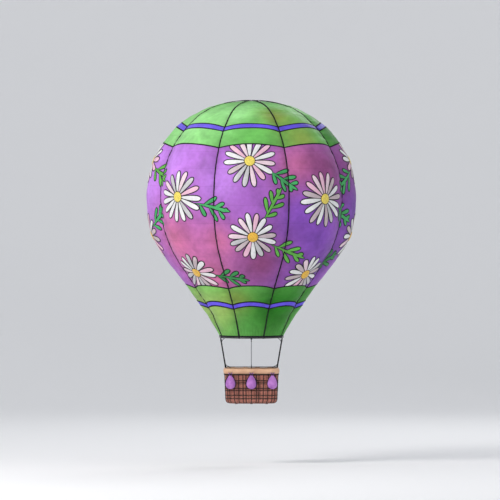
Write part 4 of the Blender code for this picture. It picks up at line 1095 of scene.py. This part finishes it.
def make_wall_core(heights):
    """The inside of the weave as a dark sheet, painted shade in the gaps between canes, and the woven bottom."""
    core = Builder()
    rows = [raised(wall_line(height, 0.0165, 96)[0], height)
            for height in (RIM_FOOT_Z - 0.002, *heights[::-2], WALL_FOOT_Z + 0.004)]
    core.lattice(np.array(rows + [rows[-1] * (share, share, 1) for share in (0.66, 0.33, 0.0)]), ring=True)
    core.piece("wicker_core", "core", "balloon", "wicker")
    bottom = Builder()
    half = np.array(WALL_HALF_FOOT) - WALL_FOOT_CORNER
    rng = random.Random(21)
    for share in (np.arange(24) + 0.5) / 24:
        ring = raised(rounded_outline(half + 0.02 - share * half[1], 0.08, 64), WALL_FOOT_Z + 0.009)
        bottom.tube([*ring, ring[0]], 0.0115, 0, rng.uniform(0.75, 1.2), sides=6, caps=False)
    bottom.piece("wicker_bottom", "wicker", "balloon", "wicker")


def make_rim():
    """The padded leather rim, stuffed between sewn seams, with piping under it and a welt along its crest."""
    half, height = RIM_WIDTH / 2, RIM_TOP_Z - RIM_FOOT_Z
    outline = rounded_outline(np.array(RIM_HALF) - half, RIM_CORNER - half, RIM_POINTS)
    out = outward(outline)
    turn = np.radians(np.linspace(180, -180, 73))
    section = evenly(np.column_stack([half * np.cos(turn), height / 2 * (1 + np.sin(turn))]), 40)
    middle = np.array((0.0, height / 2))
    section = middle + (section - middle) * RIM_SHELL_SHARE
    builder = Builder()
    builder.lattice(np.array([raised(outline + out * reach, RIM_FOOT_Z + rise) for reach, rise in section]),
                    ring=True, loop=True, flip=True)
    sewn = slice(RIM_FIRST_SEAM, None, RIM_POINTS // RIM_SEAMS)
    seams = raised(outline, RIM_FOOT_Z + height / 2)[sewn]
    along = np.cross((0, 0, 1), raised(out, 0.0)[sewn])

    def from_seam(points):
        """How far each point lies from the nearest seam round the pad."""
        offset = points[:, None] - seams[None]
        beside = np.where(np.linalg.norm(offset, axis=2) < 0.20, np.abs((offset * along).sum(axis=2)), 1.0)
        return beside.min(axis=1)

    def is_held(points):
        return (from_seam(points) < 0.012) | (points[:, 2] < RIM_FOOT_Z + 0.030)

    pad = relaxed(builder.mesh("rim_leather_pad"), 0.019, is_held, 0.011, 0.03)
    points = coordinates(pad)
    dent = RIM_DENT * np.exp(-((from_seam(points) / RIM_DENT_WIDTH) ** 2))
    normals = np.empty(3 * len(points), np.float32)
    pad.vertices.foreach_get("normal", normals)
    pad.vertices.foreach_set("co", (points - dent[:, None] * normals.reshape(-1, 3)).ravel())
    pad.update()
    rim = add_piece("rim_leather_pad", pad, "leather", "balloon", "rim_leather", "rim_pad")

    piping = Builder()
    for reach, level, radius in ((half - 0.030, RIM_FOOT_Z + 0.003, 0.018), (0.0, RIM_TOP_Z + 0.001, 0.009)):
        line = raised(outline + out * reach, level)[::2]
        piping.tube([*line, line[0]], radius, sides=8, caps=False)
    piping.piece("rim_piping", "webbing", "balloon", "rim_leather")


def hose_route(side, x, y, start):
    under_bar = RING_Z - FRAME_TUBE - HOSE_RADIUS - 0.0015
    return [
        (x, y, start), (x, y, start + 0.050), (side * 0.60, 0.39, start + 0.150),
        (side * 0.70, 0.45, RIM_TOP_Z - 0.100), (side * 0.80, 0.485, RIM_TOP_Z + 0.010),
        (side * 0.90, 0.498, RIM_TOP_Z + 0.060), (side * 0.948, 0.476, RIM_TOP_Z + 0.170),
        (side * 1.010, 0.396, (RIM_TOP_Z + RING_Z) / 2 - 0.040), (side * 1.070, 0.322, RING_Z - 0.260),
        (side * 1.052, 0.358, RING_Z - 0.150), (side * 0.980, 0.430, RING_Z - 0.070),
        (side * 0.870, 0.466, under_bar - 0.005), (side * 0.740, FRAME_BAR_Y, under_bar),
        (side * 0.55, FRAME_BAR_Y, under_bar),
    ]


def add_tie(builder, first, second, way, first_radius, width):
    """A strap pulled round a bar and a hose that lie side by side, across the way that they run."""
    first, second, way = Vector(first), Vector(second), Vector(way).normalized()
    second -= way * way.dot(second - first)
    along = (second - first).normalized()
    side = way.cross(along)
    rings = []
    for reach, lift in ((-width / 2, 0), (-width / 2, 0.0025), (width / 2, 0.0025), (width / 2, 0)):
        ring = []
        for centre, radius, start in ((first, first_radius, 90), (second, HOSE_RADIUS, -90)):
            for angle in np.radians(np.linspace(start, start + 180, 15)):
                out = along * math.cos(angle) + side * math.sin(angle)
                ring.append(centre + out * (radius + 0.0008 + lift) + way * reach)
        rings.append(ring)
    builder.lattice(np.array(rings), ring=True, loop=True)


def tie_hose(builder, line, side):
    """Straps that hold a hose to its riser, and under the bar of the burner frame."""
    low = Vector((side * SIDE_RISER_FOOT[0], SIDE_RISER_FOOT[1], RIM_TOP_Z))
    high = Vector((side * SIDE_RISER_TOP[0], SIDE_RISER_TOP[1], LUG_FOOT_Z))
    way = (high - low).normalized()
    over_rim = [point for point in line if point.z > RIM_TOP_Z + 0.05]
    for share in (0.20, 0.50, 0.80):
        place = low.lerp(high, share)
        nearest = min(over_rim, key=lambda point: abs(way.dot(point - place)))
        add_tie(builder, place, nearest, way, SIDE_RISER_RADIUS, 0.030)
    for x in (0.76, 0.60):
        nearest = min(over_rim, key=lambda point: abs(point.x - side * x))
        add_tie(builder, (side * x, FRAME_BAR_Y, RING_Z), nearest, (1, 0, 0), FRAME_TUBE, 0.020)


def make_tanks():
    """Fuel tanks with straps, guards and valves, and their hoses up to the burner frame."""
    radius = TANK_RADIUS
    shell = [(radius * math.cos(angle), TANK_HEIGHT - TANK_DOME * (1 - math.sin(angle)))
             for angle in np.radians(np.linspace(80, 0, 9))]
    shell += [(radius, 0.05), (radius - 0.006, 0.02), (radius - 0.02, 0.0), (0.0, 0.0)]
    band = [(radius - 0.001, 0.021), (radius + 0.004, 0.020), (radius + 0.005, 0.0), (radius + 0.004, -0.020),
            (radius - 0.001, -0.021)]
    guard = [(0.075, 0.040), (0.078, 0.042), (0.081, 0.040), (0.081, -0.012), (0.075, -0.012), (0.075, 0.040)]
    valve = [(0.0, 0.085), (0.012, 0.085), (0.012, 0.072), (0.024, 0.070), (0.026, 0.056), (0.016, 0.050),
             (0.016, 0.020), (0.034, 0.015), (0.034, -0.004), (0.0, -0.004)]
    wheel = [(0.0, 0.012), (0.026, 0.010), (0.030, 0.0), (0.026, -0.010), (0.0, -0.012)]
    ties = Builder()
    floor = WALL_FOOT_Z + WALL_THICKNESS + FLOOR_THICKNESS + 2 * SEAT_GAP
    top = floor + TANK_HEIGHT
    for number, side in ((1, -1), (2, 1)):
        x, y = side * TANK_PLACE[0], TANK_PLACE[1]
        builder = Builder()
        builder.turned(shell, (x, y, floor), steps=64)
        for height in TANK_STRAPS:
            builder.turned(band, (x, y, floor + height), 1, steps=64)
            builder.box((x, y - radius - 0.003, floor + height), (0.052, 0.010, 0.044), round_off=0.004)
        builder.turned(guard, (x, y, top))
        builder.turned(valve, (x, y, top), 2)
        builder.turned(wheel, (x, y, top + 0.058), 3, steps=32)
        builder.piece(f"fuel_tank_{number}_steel", "tank webbing brass red", "balloon", "tank_steel",
                      f"fuel_tank_{number}")
        hose = Builder()
        line = smooth_points(hose_route(side, x, y, top + VALVE_HEIGHT + SEAT_GAP), 0.020)
        hose.tube(line, HOSE_RADIUS, sides=14)
        for at in (0.012, 0.985):
            index = int(at * (len(line) - 1))
            hose.tube(line[max(0, index - 2): index + 2], HOSE_RADIUS * 1.25, 1, sides=14)
        hose = hose.piece(f"fuel_hose_{number}_rubber", "rubber brass", "balloon", "hose_rubber",
                          f"fuel_hose_{number}")
        tie_hose(ties, line, side)
    ties.piece("hose_ties", "webbing", "balloon", "riser_cover")


def relaxed(mesh, voxel, is_pinned, cap, stretch):
    """A closed mesh as taut cloth: remeshed, blown up from inside but for its pinned points, and subdivided."""
    scene = bpy.context.scene
    trial = bpy.data.objects.new("cloth_trial", mesh)
    scene.collection.objects.link(trial)

    def evaluated():
        graph = bpy.context.evaluated_depsgraph_get()
        return bpy.data.meshes.new_from_object(trial.evaluated_get(graph), depsgraph=graph)

    remesh = trial.modifiers.new("remesh", "REMESH")
    remesh.mode = "VOXEL"
    remesh.voxel_size = voxel
    even = evaluated()
    trial.modifiers.clear()
    trial.data = even
    before = coordinates(even)
    pins = trial.vertex_groups.new(name="pins")
    pins.add(np.flatnonzero(is_pinned(before)).tolist(), 1.0, "REPLACE")
    modifier = trial.modifiers.new("cloth", "CLOTH")
    settings = modifier.settings
    settings.quality = 4
    settings.mass = CLOTH_POINT_MASS
    settings.bending_stiffness = CLOTH_BENDING
    settings.shrink_min = -stretch
    settings.vertex_group_mass = "pins"
    settings.use_pressure = True
    settings.uniform_pressure_force = CLOTH_PRESSURE
    settings.effector_weights.gravity = 0.0
    modifier.point_cache.frame_start = 1
    modifier.point_cache.frame_end = CLOTH_FRAMES
    for step in range(1, CLOTH_FRAMES + 1):
        scene.frame_set(step)
    move = coordinates(evaluated()) - before
    scene.frame_set(1)
    trial.modifiers.clear()
    far = np.linalg.norm(move, axis=1, keepdims=True)
    even.vertices.foreach_set("co", (before + move * np.minimum(1.0, cap / np.maximum(far, 1e-9))).ravel())
    even.update()
    trial.modifiers.new("subdivision", "SUBSURF").levels = 1
    smooth = evaluated()
    bpy.data.objects.remove(trial)
    return smooth


def coordinates(mesh):
    points = np.empty(3 * len(mesh.vertices), np.float32)
    mesh.vertices.foreach_get("co", points)
    return points.reshape(-1, 3).astype(float)


def bag_places():
    return [(step * BAG_SPACING, side) for side in (-1, 1) for step in (-1, 0, 1)]


def bag_radius(down):
    """The bag's radius from its neck, 0, to its foot, 1, as in the part."""
    full = 1.547 * BAG_HALF_WIDTH * down**0.6 * np.sqrt(np.maximum(0.0, 1 - down**2.8))
    return np.maximum(full, 0.030 * smooth_step((0.10 - down) / 0.08))


def make_bags():
    """Canvas bags gathered at the neck, corded down their sides, bound with rope, and hung from steel hooks."""
    neck_z = -2 * BAG_LOOP_RADIUS
    t = 1 - (1 - np.linspace(0.0, 1.0, 56)) ** 1.7
    height = neck_z - 0.02 - (BAG_LENGTH + neck_z - 0.02) * t
    radius = bag_radius(t)
    around = turns(96)
    piping = np.column_stack([radius, np.zeros(56), height])
    piping = np.concatenate([piping[2:], (piping * (-1, 1, 1))[-2:1:-1]])
    frill_t = np.linspace(0, 1, 10)[:, None]
    ruffle = 1 + 0.14 * frill_t * np.sin(around * 9)
    frill = np.stack([(0.025 + 0.040 * np.sin(frill_t * 2.2)) * ruffle * np.sin(around),
                      -(0.021 + 0.004 * frill_t) * ruffle * np.cos(around),
                      neck_z - 0.022 + frill_t * (0.008 + 0.080 * np.abs(np.sin(around)) ** 1.2)], axis=-1)
    loop = turns(40)
    loop = np.column_stack([BAG_LOOP_RADIUS * np.cos(loop), np.zeros(40), BAG_LOOP_RADIUS * (np.sin(loop) - 1)])
    turn = np.linspace(0, math.tau, 33)
    for number, (x, side) in enumerate(bag_places(), 1):
        rng = random.Random(300 + number)
        pivot = np.array((x, side * BAG_PIVOT_Y, BAG_PIVOT_Z))
        lumps = np.sin(around * 3 + rng.uniform(0, 6)) * np.sin(math.pi * t)[:, None]
        shape = np.maximum(radius[:, None] - 0.009 * smooth_step(t / 0.2)[:, None] + 0.004 * lumps, 0.0005)
        points = around_z(shape, around, height[:, None]) * (1, BAG_DEPTH_SHARE, 1)
        shell = Builder()
        shell.lattice(points, ring=True)
        shell.lattice(np.stack([(0.0, 0.0, height[0]) * np.ones((96, 1)), points[0]]), ring=True)
        shell = welded(shell.mesh(f"sandbag_{number}_canvas"))
        canvas = relaxed(shell, 0.014, on_bag_seam, 0.013, 0.06)
        gather_neck(canvas, pivot, height[0], height[-1], rng)
        body = f"bag_{number}"
        bag = add_piece(f"sandbag_{number}_canvas", canvas, "canvas", body, "bag_cloth", f"sandbag_{number}")
        ties = Builder()
        ties.lattice(frill[::-1] + pivot, 1, ring=True)
        ties.tube(pivot + [*frill[-1], *frill[-1, :2]], 0.0038, sides=6, caps=False)
        ties.tube(pivot + [*loop, *loop[:2]], BAG_LOOP_TUBE * 0.95, sides=10, caps=False)
        for winding in range(3):
            rope = np.column_stack([0.037 * np.cos(turn), 0.032 * np.sin(turn),
                                    neck_z - 0.008 - 0.013 * winding + 0.002 * np.sin(turn)])
            ties.tube(pivot + rope, 0.0080, sides=8, caps=False)
        ties.tube(pivot + piping, BAG_PIPING)
        ties.piece(f"sandbag_{number}_tie", "rope gathers", body, "bag_cloth")
    make_hooks()


def welded(mesh):
    bm = bmesh.new()
    bm.from_mesh(mesh)
    bmesh.ops.remove_doubles(bm, verts=bm.verts, dist=1e-5)
    bmesh.ops.recalc_face_normals(bm, faces=bm.faces)
    bm.to_mesh(mesh)
    bm.free()
    return mesh


def on_bag_seam(points):
    """The points beside the corded side seams or at the neck."""
    return (np.abs(points[:, 1]) < 0.008) | (points[:, 2] > -2 * BAG_LOOP_RADIUS - 0.045)


def gather_neck(mesh, pivot, top, foot, rng):
    """Folds the cloth towards the tied neck, and moves the bag to its pivot."""
    points = coordinates(mesh)
    t = np.clip((top - points[:, 2]) / (top - foot), 0, 1)
    around = np.arctan2(points[:, 0], -points[:, 1] / BAG_DEPTH_SHARE)
    folds = 0.16 * np.sin(around * 11 + rng.uniform(0, 6)) + 0.08 * np.sin(around * 17 + rng.uniform(0, 6))
    points[:, :2] *= (1 + np.exp(-t / 0.16) * (folds - 0.08))[:, None]
    mesh.vertices.foreach_set("co", (points + pivot).ravel())
    mesh.update()


def make_hooks():
    """Steel hooks through the bags' loops, each on a plate on the wall."""
    hooks = Builder()
    rod_z = BAG_PIVOT_Z - BAG_LOOP_TUBE - HOOK_RADIUS - SEAT_GAP
    root_z = RIM_FOOT_Z - HOOK_ROOT_DROP
    seat = BAG_PIVOT_Y
    route = [(WALL_HALF_TOP[1] - 0.01, root_z), (seat - 0.10, root_z), (seat - 0.062, root_z + 0.003),
             (seat - 0.030, rod_z), (seat, rod_z), (seat + 0.025, rod_z), (seat + 0.045, rod_z + 0.012),
             (seat + 0.045, rod_z + 0.030)]
    for x, side in bag_places():
        hooks.tube(smooth_points([(x, side * y, z) for y, z in route], 0.008), 0.0058)
        hooks.box((x, side * (WALL_HALF_TOP[1] + 0.007), root_z), (0.050, 0.008, 0.050), round_off=0.003)
    hooks.piece("bag_hooks_steel", "steel", "balloon", "wicker")


def make_stage():
    """A pale round studio: a floor that curves up into a tall wall, and is clear from outside."""
    floor_z, reach, curve, top = -9.6, 82.0, 30.0, 60.0
    profile = [(0.0, floor_z), (20.0, floor_z), (reach - curve, floor_z)]
    for angle in np.radians(np.linspace(6, 90, 15)):
        profile.append((reach - curve + curve * math.sin(angle), floor_z + curve * (1 - math.cos(angle))))
    builder = Builder()
    builder.turned([*profile, (reach, top)], steps=128)
    mesh = builder.mesh("studio")
    mesh.shade_smooth()
    look = Look("studio_floor", (0.92, 0.92, 0.93), 0.9)
    choice = look.add("MixShader")
    sources = (look.add("NewGeometry").outputs["Backfacing"], look.surface.outputs[0],
               look.add("BsdfTransparent").outputs[0])
    for socket, source in zip(choice.inputs, sources):
        look.join(socket, source)
    look.join(look.tree.nodes["Material Output"].inputs["Surface"], choice.outputs[0])
    mesh.materials.append(look.material)
    studio = bpy.data.objects.new("studio", mesh)
    bpy.context.scene.collection.objects.link(studio)


def add_area_light(name, place, aim, size, power, colour=(1, 1, 1)):
    data = bpy.data.lights.new(name, "AREA")
    data.energy = power
    data.size = size
    data.color = colour
    light = bpy.data.objects.new(name, data)
    light.location = place
    light.rotation_euler = (Vector(aim) - Vector(place)).to_track_quat("-Z", "Y").to_euler()
    light.visible_camera = False
    bpy.context.scene.collection.objects.link(light)


def make_lights():
    world = bpy.data.worlds.new("soft_sky")
    world.use_nodes = True
    sky = world.node_tree.nodes["Background"].inputs
    sky["Color"].default_value = (0.93, 0.96, 1.0, 1.0)
    sky["Strength"].default_value = 0.59
    bpy.context.scene.world = world
    add_area_light("key", (-28, -30, 24), (0, 0, -1), 14, 12600, (1.0, 0.98, 0.95))
    add_area_light("fill", (34, -30, 4), (0, 0, -2), 24, 1800, (0.93, 0.96, 1.0))
    add_area_light("back", (14, 36, 24), (0, 0, 0), 18, 4000)


def make_camera():
    data = bpy.data.cameras.new("camera")
    data.lens = CAMERA_LENS
    data.sensor_width = 36.0
    data.clip_end = 800.0
    camera = bpy.data.objects.new("camera", data)
    camera.location = (PHOTO_CENTRE[0], -CAMERA_DISTANCE * math.cos(CAMERA_RISE),
                       PHOTO_CENTRE[1] + CAMERA_DISTANCE * math.sin(CAMERA_RISE))
    camera.rotation_euler = (math.pi / 2 - CAMERA_RISE, 0, 0)
    bpy.context.scene.collection.objects.link(camera)
    bpy.context.scene.camera = camera


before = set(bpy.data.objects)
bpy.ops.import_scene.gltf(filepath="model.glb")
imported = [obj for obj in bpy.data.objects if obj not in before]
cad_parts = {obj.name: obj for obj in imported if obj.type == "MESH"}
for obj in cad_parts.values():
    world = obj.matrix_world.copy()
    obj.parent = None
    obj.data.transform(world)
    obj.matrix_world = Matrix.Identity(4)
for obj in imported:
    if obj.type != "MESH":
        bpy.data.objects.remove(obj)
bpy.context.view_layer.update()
LOOKS = make_looks()
make_camera()
# Plain colours, so that the cloth keeps its own
bpy.context.scene.view_settings.view_transform = "Standard"
make_envelope()
make_tapes()
make_daisies()
make_parachute()
make_ring()
make_risers()
make_burner()
make_basket_wall()
make_rim()
make_tanks()
make_bags()
for node, look in (("parachute_boss", "steel"), ("burner_frame", "ring"), ("basket_floor", "plywood"),
                   ("skid_frame", "skids")):
    bpy.data.objects[node].material_slots[0].material = LOOKS[look]
make_stage()
make_lights()
